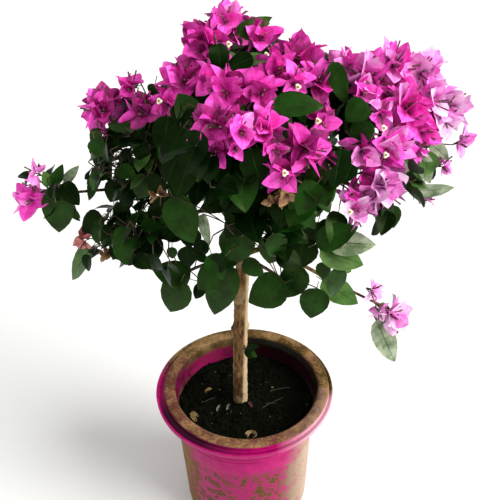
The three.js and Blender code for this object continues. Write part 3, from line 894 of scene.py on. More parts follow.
def blade_template(columns, rows, rib):
    """A leaf or bract laid out flat: X from 0 to 1 along it, Y from -1 to 1 across it, and Z 1 on
    its upper sheet, -1 on its lower one and 0 at the rim, where the two are joined. The two
    columns beside the middle line are moved to make a rib of that half width."""
    bm = bmesh.new()
    bmesh.ops.create_grid(bm, x_segments=rows, y_segments=columns, size=1)
    lower = bmesh.ops.duplicate(bm, geom=bm.verts[:] + bm.edges[:] + bm.faces[:])["geom"]
    under = [item for item in lower if isinstance(item, bmesh.types.BMFace)]
    bmesh.ops.reverse_faces(bm, faces=under)
    for face in bm.faces:
        middle = rib > 0 and abs(face.calc_center_median().y) < 1e-3
        face.material_index = 1 if face in under else 2 * middle
    low = {item for item in lower if isinstance(item, bmesh.types.BMVert)}
    for vert in bm.verts:
        x, y, _ = vert.co
        at_rim = abs(x) > 0.999 or abs(y) > 0.999
        if rib > 0 and abs(y) < 1.5 / columns:
            y = math.copysign(rib, y)
        side = 0 if at_rim else (-1 if vert in low else 1)
        vert.co = ((1 - math.cos(math.pi * (x + 1) / 2)) / 2, y, side)
    bmesh.ops.remove_doubles(bm, verts=bm.verts[:], dist=1e-5)
    return Template(bm)


def placed_blades(template, blades, outline, thickness):
    """Where each blade's vertices are. A blade bends back along its length by its arch, folds up
    from its middle line, and waves at its edges."""
    u, v, side = template.verts.T
    root, along, facing = (np.array([b[i] for b in blades])[:, None] for i in range(3))
    length, width, arch, fold, wave = (np.array([b[i] for b in blades])[:, None] for i in range(3, 8))
    across = np.cross(along, facing)
    across /= np.linalg.norm(across, axis=2, keepdims=True)
    out = np.cross(across, along)
    arch = np.where(abs(arch) < LEAST_ARCH, LEAST_ARCH, arch)
    bend = arch * u
    half = outline(u) * width / 2 * v
    rise = fold * abs(half) + side * thickness / 2
    rise += WAVE_HEIGHT * length * wave * np.sin(9 * u + 4 * wave) * v * abs(v)
    ahead = length * np.sin(bend) / arch + rise * np.sin(bend)
    above = -length * (1 - np.cos(bend)) / arch + rise * np.cos(bend)
    return root + along * ahead[..., None] + across * half[..., None] + out * above[..., None]


def leaf_outline(u):
    """Half a leaf's width along its length: a broad round base, and a short drawn-out tip."""
    return np.maximum(np.sin(np.pi * u**0.66) ** 0.62 * (1 - 0.45 * u**7), 0.025 - 0.01 * u)


def bract_outline(u):
    """Half a bract's width along its length: a rounded base and a point."""
    return np.maximum(np.sin(np.pi * u**0.74) ** 0.64 * (1 - 0.35 * u**6), 0.06 - 0.045 * u)


def tube_template(sides, rings):
    """A closed tube of radius 1 about the Z axis, from Z 0 to Z 1."""
    bm = bmesh.new()
    bmesh.ops.create_cone(bm, cap_ends=True, segments=sides, radius1=1, radius2=1, depth=1)
    bmesh.ops.translate(bm, verts=bm.verts[:], vec=UP / 2)
    if rings > 1:
        upright = [edge for edge in bm.edges if abs(edge.verts[0].co.z - edge.verts[1].co.z) > 0.5]
        bmesh.ops.subdivide_edges(bm, edges=upright, cuts=rings - 1, use_grid_fill=True)
    return Template(bm)


def swept(template, tubes, relief=None):
    """Where each tube's vertices are: a tube template bent along the tube's curve. relief gives
    how far a vertex stands out, from its turn, share of the length and radius."""
    x, y, share = template.verts.T
    start, control, tip = (np.array([tube[i] for tube in tubes])[:, None] for i in range(3))
    t = share[None, :, None]
    line = start * (1 - t) ** 2 + control * 2 * t * (1 - t) + tip * t**2
    ahead = (control - start) * (1 - t) + (tip - control) * t
    ahead /= np.linalg.norm(ahead, axis=2, keepdims=True)
    side = np.array([square_to(tube.tip - tube.start) for tube in tubes])[:, None]
    other = np.cross(ahead, side)
    other /= np.linalg.norm(other, axis=2, keepdims=True)
    flat = np.cross(other, ahead)
    root_radius, tip_radius = (np.array([tube[i] for tube in tubes])[:, None] for i in (3, 4))
    radius = lerp(root_radius, tip_radius, share)
    if relief:
        radius = relief(np.arctan2(y, x), share, radius, line)
    return line + flat * (x * radius)[..., None] + other * (y * radius)[..., None]


def bark_relief(turn, share, radius, line):
    """Bark's rough radius: long ridges and cracks along the limb, and small lumps."""
    rough = np.array(radius)
    for i in range(rough.shape[0]):
        for j in range(rough.shape[1]):
            x, y, z = line[i, j]
            around = Vector((math.cos(turn[j]), math.sin(turn[j]), 0)) * rough[i, j]
            point = Vector((x, y, z)) * 90 + around * 260
            ridges = noise.fractal(point, 0.7, 2.2, 3)
            lumps = noise.noise(Vector((x, y, z * 1.6)) * 210 + around * 150)
            rough[i, j] *= 1 + BARK_RIDGES * ridges + BARK_LUMPS * lumps
    return rough


def trunk_relief(turn, share, radius, line):
    """The trunk's radius: its flare at the foot, its knots and its bark."""
    height = share * TRUNK_HEIGHT
    shaped = radius + TRUNK_FLARE * np.exp(-height / TRUNK_FLARE_HEIGHT)
    for knot_height, degrees, size in KNOTS:
        off = (turn - math.radians(degrees) + math.pi) % math.tau - math.pi
        gap = ((height - knot_height) ** 2 + (off * TRUNK_FOOT_RADIUS) ** 2) / KNOT_WIDTH**2
        shaped = shaped + size * np.exp(-2.5 * gap)
    return bark_relief(turn, share, shaped, line)


def filleted(corners, steps=4):
    """An outline's points, from corners as (radius, height, rounding)."""
    points = []
    for index, (radius, height, rounding) in enumerate(corners):
        here = Vector((radius, height))
        if rounding == 0:
            points.append(here)
            continue
        back = Vector(corners[index - 1][:2]) - here
        on = Vector(corners[index + 1][:2]) - here
        cut = min(rounding, back.length * 0.45, on.length * 0.45)
        first = here + back.normalized() * cut
        last = here + on.normalized() * cut
        for i in range(steps + 1):
            s = i / steps
            points.append(first * (1 - s) ** 2 + here * 2 * s * (1 - s) + last * s**2)
    return points


def turned(profile, steps):
    """A closed round shape spun about the Z axis, from (radius, height) points that start and
    end on it."""
    bm = bmesh.new()
    verts = [bm.verts.new((radius, 0, height)) for radius, height in profile]
    edges = [bm.edges.new(pair) for pair in zip(verts, verts[1:])]
    bmesh.ops.spin(
        bm,
        geom=verts + edges,
        cent=(0, 0, 0),
        axis=UP,
        angle=math.tau,
        steps=steps,
        use_merge=True,
        use_duplicate=False,
    )
    bmesh.ops.remove_doubles(bm, verts=bm.verts[:], dist=1e-6)
    bmesh.ops.recalc_face_normals(bm, faces=bm.faces[:])
    return bm


def mesh_of(name, bm):
    """The mesh of a bmesh, which is then freed."""
    mesh = bpy.data.meshes.new(name)
    bm.to_mesh(mesh)
    bm.free()
    return mesh


def add_piece(name, mesh, materials, nodes=(), sharp=50):
    """Puts a finished mesh in the scene as a piece that rides on the frame."""
    for material in materials:
        mesh.materials.append(material)
    mesh.shade_smooth()
    mesh.set_sharp_from_angle(angle=math.radians(sharp))
    piece = bpy.data.objects.new(name, mesh)
    bpy.context.scene.collection.objects.link(piece)
    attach(piece, "root")
    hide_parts(*nodes)
    return piece


def add_copies(name, template, places, materials, nodes, sharp=50):
    """Adds a piece of copies of a template."""
    return add_piece(name, joined(name, template, places), materials, nodes, sharp)


def inner_radius(height):
    """The radius of the pot's inner wall at a height."""
    return lerp(FOOT_RADIUS, MOUTH_RADIUS + 0.002, height / POT_TOP) - WALL


# Materials


def linear(colour):
    """An sRGB hex colour as the linear red, green, blue and alpha that Blender takes."""
    parts = [int(colour[i : i + 2], 16) / 255 for i in (1, 3, 5)]
    return [c / 12.92 if c <= 0.04045 else ((c + 0.055) / 1.055) ** 2.4 for c in parts] + [1]


class Skin:
    """A material with its shader's constant values set, and the kinds of node that colour it."""

    def __init__(self, name, **constants):
        self.material = bpy.data.materials.new(name)
        self.material.use_nodes = True
        self.tree = self.material.node_tree
        self.shader = self.tree.nodes["Principled BSDF"]
        for socket, value in constants.items():
            self.shader.inputs[socket.replace("_", " ")].default_value = value
        self.place = self.add("TexCoord").outputs["Object"]

    def add(self, kind, inputs=None, **settings):
        """Adds a node, sets it up, and gives its inputs their values or links."""
        node = self.tree.nodes.new(f"ShaderNode{kind}")
        for name, value in settings.items():
            setattr(node, name, value)
        for name, value in (inputs or {}).items():
            if isinstance(value, bpy.types.NodeSocket):
                self.tree.links.new(value, node.inputs[name])
            else:
                node.inputs[name].default_value = value
        return node

    def ramp(self, value, low, high, least=0.0, most=1.0):
        """A value spread from one range over another, and held at its ends."""
        ends = {"Value": value, "From Min": low, "From Max": high, "To Min": least, "To Max": most}
        return self.add("MapRange", ends).outputs[0]

    def both(self, first, second, operation="MULTIPLY"):
        """Two values multiplied, or joined by another operation."""
        return self.add("Math", {0: first, 1: second}, operation=operation).outputs[0]

    def speckles(self, size, detail, roughness=0.5, place=None):
        """Cloudy noise in patches of a size."""
        inputs = {"Scale": 1 / size, "Detail": detail, "Roughness": roughness}
        inputs["Vector"] = self.place if place is None else place
        return self.add("TexNoise", inputs).outputs[0]

    def mix(self, share, first, second):
        """Two colours mixed, each a hex value or the colour from another node."""
        first, second = (linear(c) if isinstance(c, str) else c for c in (first, second))
        return self.add("Mix", {0: share, 6: first, 7: second}, data_type="RGBA").outputs[2]

    def finished(self, colour, height, strength, distance):
        """The material, once its shader has its colour and a fine relief."""
        bump = self.add("Bump", {"Height": height, "Strength": strength, "Distance": distance})
        self.tree.links.new(colour, self.shader.inputs["Base Color"])
        self.tree.links.new(bump.outputs[0], self.shader.inputs["Normal"])
        return self.material


class PotPlastic(Skin):
    """The pot is injection-moulded polypropylene: an even, slightly soft gloss. It is weathered,
    and it carries painted light: painted shade in the groove under the lip and on the wall inside,
    and a painted highlight on the rim's front right and the wall's right. Each kind of wear, dirt
    or painted light is a value from 0 to 1, by where on the pot it is."""

    def __init__(self, colours):
        super().__init__("moulded_polypropylene", IOR=1.49, Specular_IOR_Level=0.13)
        self.colours = colours
        self.x, self.y, self.z = self.add("SeparateXYZ", {0: self.place}).outputs
        level = self.add("CombineXYZ", {0: self.x, 1: self.y}).outputs[0]
        self.across = self.add("VectorMath", {0: level}, operation="LENGTH").outputs["Value"]
        self.blots = self.speckles(0.013, 6, 0.75)
        self.patches = self.speckles(0.022, 3)
        self.grit = self.speckles(0.0035, 3)

    def dusty(self):
        """Blots of dust and clay on the lower wall, and up both its sides."""
        ramp, both, x = self.ramp, self.both, self.x
        low = ramp(self.z, COLLAR_FOOT + 0.006, COLLAR_FOOT - 0.015)
        side = both(ramp(x, -0.066, -0.086), ramp(x, 0.052, 0.082), "MAXIMUM")
        side = both(side, ramp(self.z, POT_TOP - 0.020, POT_TOP - 0.030))
        side = both(side, ramp(self.y, 0.045, -0.005, 0.3))
        lifted = both(self.blots, both(side, 0.2), "ADD")
        blotted = both(ramp(lifted, 0.485, 0.52), both(low, side, "MAXIMUM"))
        worn = both(self.grit, both(self.patches, 0.6), "ADD")
        return both(blotted, ramp(worn, 0.68, 0.82, 0.5))

    def dust(self):
        """The blots' colour: olive, pale lime on the right, part dust and part painted highlight on the
        lit side, and tan clay at the far left.
        """
        ramp, colours = self.ramp, self.colours
        dust = self.mix(ramp(self.x, 0.045, 0.095), colours.pot_dust, colours.pot_lime_and_highlight)
        clay = self.both(ramp(self.x, -0.060, -0.085), ramp(self.patches, 0.38, 0.58, 0.45))
        return self.mix(clay, dust, colours.pot_clay)

    def inside(self):
        """The wall inside, told by its slope, and the mouth's edge."""
        ramp, both, z, across = self.ramp, self.both, self.z, self.across
        steep = (inner_radius(POT_TOP) - inner_radius(0)) / POT_TOP
        wall = both(both(z, steep), inner_radius(0), "ADD")
        wall = ramp(both(wall, across, "SUBTRACT"), -0.0005, -0.0001)
        mouth = ramp(z, POT_TOP - 0.016, POT_TOP - 0.014)
        mouth = both(mouth, ramp(z, POT_TOP - 0.001, POT_TOP - 0.004))
        mouth = both(mouth, ramp(across, MOUTH_RADIUS + 0.003, MOUTH_RADIUS + 0.001))
        return both(wall, mouth, "MAXIMUM")

    def inside_shade_and_stain(self):
        """How much the wall inside is darkened to the soil's colour: painted shade, the most at its
        right, which is turned from the light, and mottled soil stain at its left.
        """
        uneven = self.both(self.x, self.both(self.blots, 0.14), "ADD")
        left = self.ramp(uneven, 0.005, -0.030, 0.25, 0.6)
        return self.both(self.ramp(uneven, 0.020, 0.075, 0.25, 0.95), left, "MAXIMUM")

    def groove(self):
        """Painted shade in the groove between the rim and the lip, at the left of its front, where the
        lip shades it.
        """
        ramp, both, z, across = self.ramp, self.both, self.z, self.across
        groove = ramp(z, POT_TOP - 0.0105, POT_TOP - 0.0095)
        groove = both(groove, ramp(z, POT_TOP - 0.003, POT_TOP - 0.0045))
        groove = both(groove, ramp(across, RIM_RADIUS - 0.0010, RIM_RADIUS - 0.0020))
        groove = both(groove, ramp(across, LIP_RADIUS - 0.004, LIP_RADIUS - 0.003))
        return both(groove, both(ramp(self.x, 0.015, -0.060), ramp(self.y, -0.010, -0.045)))

    def rim(self):
        """Where the rim is covered in soil, behind and at the right, and where a painted highlight
        lies on it, at the front right."""
        ramp, both, x, y = self.ramp, self.both, self.x, self.y
        high = ramp(self.z, POT_TOP - 0.016, POT_TOP - 0.010)
        brown = both(ramp(x, 0.060, 0.105), ramp(y, -0.026, -0.006))
        brown = both(both(brown, ramp(y, 0.020, 0.060), "MAXIMUM"), high)
        edge = ramp(self.across, RIM_RADIUS + 0.0002, RIM_RADIUS - 0.0012)
        rim_highlight = both(both(ramp(x, 0.040, 0.095), ramp(y, 0.004, -0.018)), high)
        return brown, both(rim_highlight, edge)

    def worn(self):
        """The plastic with all of its wear, dirt and painted light, from the clean colour up."""
        ramp, both, mix, colours = self.ramp, self.both, self.mix, self.colours
        dusty, inside = self.dusty(), self.inside()
        brown, rim_highlight = self.rim()
        lip = both(ramp(self.z, POT_TOP - 0.0045, POT_TOP - 0.002), ramp(self.grit, 0.35, 0.55, 0.7))
        crust = ramp(both(self.patches, both(self.grit, 0.7), "ADD"), 0.74, 1.02)
        crust = mix(crust, colours.pot_lip, colours.pot_lip_pale)
        splashes = both(inside, ramp(self.grit, 0.46, 0.58, 0, 0.6))

        colour = mix(ramp(self.blots, 0.3, 0.7), colours.pot_deep, colours.pot)
        colour = mix(dusty, colour, self.dust())
        # Painted highlight on the rim's front right.
        colour = mix(rim_highlight, colour, colours.pot_rim_highlight)
        colour = mix(both(lip, brown, "MAXIMUM"), colour, crust)
        # Painted shade in the groove under the lip.
        colour = mix(self.groove(), colour, colours.pot_groove_shade)
        colour = mix(splashes, colour, colours.pot_lip)
        # Painted shade on the wall inside, with soil stain, in the soil's colour.
        colour = mix(both(inside, self.inside_shade_and_stain()), colour, colours.soil)
        roughness = ramp(both(dusty, lip, "MAXIMUM"), 0, 1, 0.36, 0.8)
        self.tree.links.new(roughness, self.shader.inputs["Roughness"])
        return self.finished(colour, self.grit, 0.15, 0.0006)


def mottled(name, finish, **constants):
    """A natural matte surface in two tones, mixed in patches, with a fine relief."""
    skin = Skin(name, Roughness=finish.roughness, **constants)
    tone = skin.speckles(finish.patch, 4, 0.6)
    colour = skin.mix(skin.ramp(tone, 0.36, 0.64), finish.first, finish.second)
    return skin.finished(colour, tone, finish.relief, finish.patch * 0.25)


def plain(name):
    """The finish of this name."""
    return mottled(name, FINISHES[name])


def bark(name, colours, lit_side_paint):
    """The bark of an old stem: brown and dull, with corky ridges and dark cracks that run up the
    stem, and darker towards the soil, as damp bark and as painted shade inside the pot. The outer
    layer has worn off to cream in patches, and lit_side_paint says how much painted highlight
    lies all down the trunk's right side, where the light falls."""
    skin = Skin(name, Roughness=0.9, Specular_IOR_Level=0.2)
    along = skin.add("Mapping", {"Vector": skin.place, "Scale": (1, 1, 0.28)}, vector_type="POINT")
    ridges = skin.speckles(0.0045, 5, 0.65, along.outputs[0])
    worn = skin.ramp(skin.speckles(0.024, 3), 0.5, 0.62, 0, 0.25)
    square = Vector((1, 0, -TRUNK_LEAN.x / TRUNK_HEIGHT))
    across = skin.add("VectorMath", {0: skin.place, 1: square}, operation="DOT_PRODUCT")
    edge = TRUNK_FOOT.dot(square) + LIT_SIDE_EDGE
    # A painted highlight down the trunk's right side, where the light falls.
    side = skin.ramp(across.outputs["Value"], edge, edge + 0.003, 0, lit_side_paint)
    height = skin.add("SeparateXYZ", {0: skin.place}).outputs["Z"]
    # Darker towards the soil: damp bark, and painted shade inside the pot.
    damp = skin.ramp(height, SOIL_LEVEL + 0.080, SOIL_LEVEL, 0, 0.75)
    brown = skin.mix(skin.ramp(ridges, 0.40, 0.60), colours.bark_deep, colours.bark)
    brown = skin.mix(damp, brown, colours.bark_deep)
    pale = skin.mix(skin.both(worn, side, "MAXIMUM"), brown, colours.bark_worn_and_lit)
    return skin.finished(pale, ridges, 0.7, 0.0014)


def leaf_materials(colours, tone):
    """A leaf's upper face is leathery, with a soft waxy gloss. Its underside is dull and paler,
    and its rib is a thin line with the same gloss."""
    first, second, shine = LEAF_TONES[tone]
    sheen = {"Specular_IOR_Level": shine, "Specular_Tint": linear("#dcf0a8")}
    upper = mottled(f"waxy_leaf_{tone}", Finish(first, second, 0.018, 0.36, 0.12), **sheen)
    under = mottled("leaf_underside", Finish(colours.leaf_under, "#2c4422", 0.012, 0.75, 0.15))
    rib = mottled("leaf_rib", Finish(colours.leaf_rib, "#1a3a10", 0.006, 0.6, 0.1), **sheen)
    return [upper, under, rib]


# A mottled finish: its two tones, the size of their patches, its roughness and its relief.
Finish = namedtuple("Finish", "first second patch roughness relief")
FINISHES = {
    "husk_chips": Finish("#544a30", "#83765a", 0.002, 0.85, 0.3),
    "green_scraps": Finish("#2c3f1c", "#546838", 0.002, 0.8, 0.3),
    "dry_stick": Finish("#1e1b11", "#383224", 0.003, 0.85, 0.3),
    "nut_husk": Finish("#5b4526", "#a58c5e", 0.003, 0.7, 0.4),
    "young_twig_bark": Finish("#281a0c", "#48311b", 0.004, 0.8, 0.3),
    "leaf_stalk": Finish("#2f4420", "#5a4428", 0.006, 0.7, 0.1),
    "flower_stalk": Finish("#3c2816", "#5c4228", 0.004, 0.75, 0.2),
    "flower_tube": Finish("#5c1a48", "#6e5a3c", 0.012, 0.6, 0.1),
    "cream_flower": Finish("#e4d8b4", "#fbf6e4", 0.003, 0.6, 0.1),
    "flower_eye": Finish("#8c6a3a", "#b08c50", 0.002, 0.7, 0.1),
}

# The leaves' tones: two greens that mix in patches, and how much the wax shines. The dark tone
# is darker than a leaf's own green, painted shade for the crown's inside, and the fresh and pale
# tones carry a painted sheen for outer leaves in the light. Then the running share of sprays that
# is dealt each tone, in most masses and in those on the lit right, whose paler leaves are painted
# sheen.
LEAF_TONES = {
    "dark": ("#031102", "#081e04", 0.08),
    "green": ("#092104", "#163b0b", 0.19),
    "fresh": ("#2a4c1c", "#4a6c32", 0.27),
    "pale": ("#56684a", "#a4ae94", 0.20),
}
LEAF_SHARES = {"dark": 0.56, "green": 0.97, "fresh": 1.0}
OUTER_SHARES = {"dark": 0.15, "green": 0.3, "fresh": 0.5, "pale": 1.0}
SHEEN_MASSES = ["right_outer", "low_right"]

# The bracts' tones, a deeper and a brighter colour that mix in patches. Then the tones that each
# tint deals out, flower by flower. The heads' tints grow lighter towards the right, pale and palest
# most of all: painted highlight where the light falls strongest. The deep tint is partly painted
# shade, for heads that the crown shades.
BRACT_TONES = {
    "wine": ("#8a1464", "#c02a8e"),
    "magenta": ("#ca1a94", "#f048c4"),
    "bright": ("#e82eb6", "#ff6cdc"),
    "orchid": ("#ec70d0", "#ffb4f0"),
    "pale": ("#f6aae6", "#ffdefa"),
    "salmon": ("#b0605a", "#d98f8c"),
    "dry": ("#7c5230", "#b08a5c"),
}
TINT_TONES = {
    "deep": ["wine", "wine", "magenta"],
    "magenta": ["wine", "magenta", "magenta", "bright"],
    "rose": ["magenta", "bright", "bright", "bright", "orchid"],
    "vivid": ["bright", "bright", "orchid"],
    "orchid": ["magenta", "bright", "orchid", "orchid"],
    "pale": ["orchid", "orchid", "pale"],
    "palest": ["orchid", "pale", "pale"],
    "salmon": ["salmon"],
    "dry": ["dry"],
}


# Settings


def colour_setting(name, description, default):
    """A colour in the sidebar, as a hex value."""
    return bpy.props.StringProperty(name=name, description=description, default=default)


def length_setting(name, description, default):
    """A length in the sidebar."""
    return bpy.props.FloatProperty(
        name=name, description=description, default=default, min=0, subtype="DISTANCE", unit="LENGTH"
    )


class BougainvilleaColours(bpy.types.PropertyGroup):
    """Colours of the pot, soil, bark and leaves, as sRGB hex values."""

    pot: colour_setting("Pot", "The clean plastic", "#b6086b")
    pot_deep: colour_setting("Pot, deep", "The plastic in its darker patches", "#8a064e")
    # The rim's painted highlight.
    pot_rim_highlight: colour_setting("Bleached pot", "The rim where it has bleached", "#d9a6b8")
    pot_dust: colour_setting("Pot dust", "Olive dust on the plastic", "#4e4414")
    pot_clay: colour_setting("Pot clay", "Tan clay dried on the wall at the far left", "#7c6636")
    # Part dust, part painted highlight on the pot's lit right side.
    pot_lime_and_highlight: colour_setting("Pot lime", "Pale lime on the plastic, most on the right", "#bcaa94")
    pot_lip: colour_setting("Pot lip", "Brown soil dried on the lip", "#4c3818")
    pot_lip_pale: colour_setting("Pale pot lip", "Where that soil is thin", "#8e7048")
    # Painted shade for the groove round the lip.
    pot_groove_shade: colour_setting("Pot groove", "Dirt in the groove round the lip", "#3a0c26")
    soil: colour_setting("Soil", "Damp potting soil", "#040603")
    soil_dry: colour_setting("Dry soil", "Soil where it has dried", "#0f1108")
    bark: colour_setting("Bark", "The bark's ridges", "#7c5a34")
    bark_deep: colour_setting("Bark cracks", "The cracks in the bark", "#3a2814")
    # Worn bark, and the painted highlight down the trunk's right side.
    bark_worn_and_lit: colour_setting("Worn bark", "Where the outer bark has worn off", "#c6af88")
    leaf_under: colour_setting("Leaf underside", "The leaves' lower face", "#1d3518")
    leaf_rib: colour_setting("Leaf rib", "The leaves' middle rib", "#0f2809")


class BougainvilleaSizes(bpy.types.PropertyGroup):
    """Sizes of the leaves and flowers."""

    leaf_length: length_setting("Leaf length", "The length of a full leaf's blade", 0.048)
    leaf_width: length_setting("Leaf width", "The width of a full leaf's blade", 0.036)
    bract_length: length_setting("Bract length", "The length of a full bract", 0.037)
    bract_width: length_setting("Bract width", "The width of a full bract", 0.0275)
    flowers_a_head: bpy.props.IntProperty(
        name="Flowers a head", description="Flowers round a head 24 mm in reach", default=12, min=3
    )


class BougainvilleaStage(bpy.types.PropertyGroup):
    """The floor and the lights."""

    floor: colour_setting("Floor", "The plain floor", "#eeefee")
    key_strength: bpy.props.FloatProperty(
        name="Key light", description="Strength of the main light, in watts a square metre", default=4.2
    )
    fill_power: bpy.props.FloatProperty(
        name="Fill light", description="Power of the light from the left", default=8, min=0, unit="POWER"
    )


# Operators: each makes one piece or one group of like pieces.


def pot_profile():
    """The pot's outline from the middle of its underside, up its outside and down its inside to
    the middle of its floor, as (radius, height, rounding)."""
    foot = [
        (0, 0, 0),
        (FOOT_RADIUS - 0.006, 0, 0.001),
        (FOOT_RADIUS - 0.005, 0.001, 0.001),
        (FOOT_RADIUS, 0.003, 0.002),
    ]
    collar = [
        (COLLAR_RADIUS - 0.0045, COLLAR_FOOT - 0.002, 0.001),
        (COLLAR_FOOT_RADIUS, COLLAR_FOOT, 0.001),
    ]
    for line in range(COLLAR_LINES):
        height = COLLAR_FOOT + FIRST_LINE + line * LINE_STEP
        share = (height - COLLAR_FOOT) / (COLLAR_TOP - COLLAR_FOOT)
        radius = lerp(COLLAR_FOOT_RADIUS, COLLAR_RADIUS, share)
        collar += [
            (radius, height - 0.001, 0.0004),
            (radius - LINE_DEPTH, height, 0.0004),
            (radius, height + 0.001, 0.0004),
        ]
    rim = [
        (COLLAR_RADIUS, COLLAR_TOP, 0.004),
        (RIM_RADIUS - 0.001, RIM_FOOT, 0.003),
        (RIM_RADIUS, POT_TOP - 0.005, 0.002),
        (RIM_RADIUS - 0.0018, POT_TOP - 0.0052, 0.0012),
    ]
    lip = [
        (LIP_RADIUS + 0.001, GROOVE_FLOOR, 0.0012),
        (LIP_RADIUS, POT_TOP - 0.001, 0.002),
        (LIP_RADIUS - 0.007, POT_TOP, 0.003),
        (MOUTH_RADIUS, POT_TOP - 0.001, 0.003),
    ]
    inside = [
        (inner_radius(POT_TOP - 0.012), POT_TOP - 0.012, 0.002),
        (inner_radius(BASE), BASE, 0.003),
        (0, BASE, 0),
    ]
    return foot + collar + rim + lip + inside


class BOUGAINVILLEA_OT_pot(bpy.types.Operator):
    """Makes the pot, with its lip, rim, collar and drain holes"""

    bl_idname = "bougainvillea.pot"
    bl_label = "Make the pot"

    def execute(self, context):
        bm = turned(filleted(pot_profile()), steps=128)
        for vert in bm.verts:
            self.set_aslant(vert)
        pot = add_piece("pot_smooth", mesh_of("pot_smooth", bm), [], ["pot"], sharp=60)
        self.cut_drain_holes(pot, context)
        pot.data.materials.clear()
        pot.data.materials.append(PotPlastic(context.scene.bougainvillea_colours).worn())
        return {"FINISHED"}

    def set_aslant(self, vert):
        """Slips a vertex of the lip or the outer wall to its side."""
        flat = Vector((vert.co.x, vert.co.y, 0))
        in_groove = flat.length < LIP_RADIUS + 0.0015
        if vert.co.z > POT_TOP - 0.004 or vert.co.z > POT_TOP - 0.010 and in_groove:
            vert.co += LIP_SLIP
        elif flat.length > inner_radius(vert.co.z) + 0.001:
            vert.co += flat.normalized() * noise.noise(vert.co * 14) * WALL_WAVE
            vert.co.x -= SLIP * min(1, vert.co.z / COLLAR_FOOT)

    def cut_drain_holes(self, pot, context):
        """Round holes through the pot's base."""
        cutter = bmesh.new()
        for hole in range(DRAIN_HOLES):
            angle = hole * math.tau / DRAIN_HOLES
            place = Vector((math.cos(angle), math.sin(angle), 0)) * DRAIN_CIRCLE + UP * BASE / 2
            bmesh.ops.create_cone(
                cutter,
                cap_ends=True,
                segments=24,
                radius1=DRAIN_RADIUS,
                radius2=DRAIN_RADIUS,
                depth=BASE * 3,
                matrix=Matrix.Translation(place),
            )
        holes = bpy.data.objects.new("holes", mesh_of("holes", cutter))
        context.scene.collection.objects.link(holes)
        drain = pot.modifiers.new("Drain holes", "BOOLEAN")
        drain.operation = "DIFFERENCE"
        drain.object = holes
        with context.temp_override(object=pot):
            bpy.ops.object.modifier_apply(modifier=drain.name)
        bpy.data.objects.remove(holes)


# Dry things that lie on the soil where the photograph shows them, by the pixels of their ends:
# scraps of leaf with their width, curl and tone, thin sticks, and half a nut's husk.
Fallen = namedtuple("Fallen", "root tip width curl tone")
LITTER = [
    Fallen((190, 412), (201, 419), 0.009, 1.5, "straw"),
    Fallen((196, 421), (190, 415), 0.006, 0.9, "straw"),
    Fallen((248, 405), (253, 410), 0.005, 1.2, "wine"),
    Fallen((217, 411), (221, 402), 0.004, 1.2, "grey"),
    Fallen((227, 412), (230, 403), 0.004, 1.2, "grey"),
    Fallen((212, 388), (204, 392), 0.006, 0.8, "straw"),
]
LITTER_TONES = {
    "straw": ("#5c4a26", "#8a7444"),
    "wine": ("#2c0a16", "#4a1426"),
    "grey": ("#454c3c", "#6c7460"),
}
STICKS = [
    ((262, 409), (283, 398)),
    ((265, 404), (276, 405)),
    ((270, 392), (290, 387)),
    ((204, 402), (215, 398)),
]
STICK_RADII = (0.0007, 0.0005)
HUSK = (251, 433)
HUSK_RADIUS = 0.0075

# The soil's top: how far it has sunk, how high the mound round the trunk is, how far the mound
# spreads, and how high the lumps are. It is turned in this many rings, and its gap to the pot's
# wall is this wide.
SOIL_SUNK = 0.0025
MOUND_HEIGHT = 0.009
MOUND_SPREAD = 0.035
LUMP_HEIGHT = 0.0042
SOIL_RINGS = 44
SOIL_GAP = 0.0003


def soil_height(x, y):
    """The soil's level at a place, a little higher round the trunk and lumpy all over."""
    lumps = noise.fractal(Vector((x, y, 0)) * 60, 0.8, 2.1, 4) * LUMP_HEIGHT
    mound = MOUND_HEIGHT * math.exp(-((math.hypot(x, y) / MOUND_SPREAD) ** 2))
    return SOIL_LEVEL - SOIL_SUNK + lumps + mound


def on_soil(across, down):
    """The place on the lumpy soil that the photograph shows at a pixel."""
    place = seen_level(across, down, SOIL_LEVEL)
    return Vector((place.x, place.y, soil_height(place.x, place.y) + 0.0008))


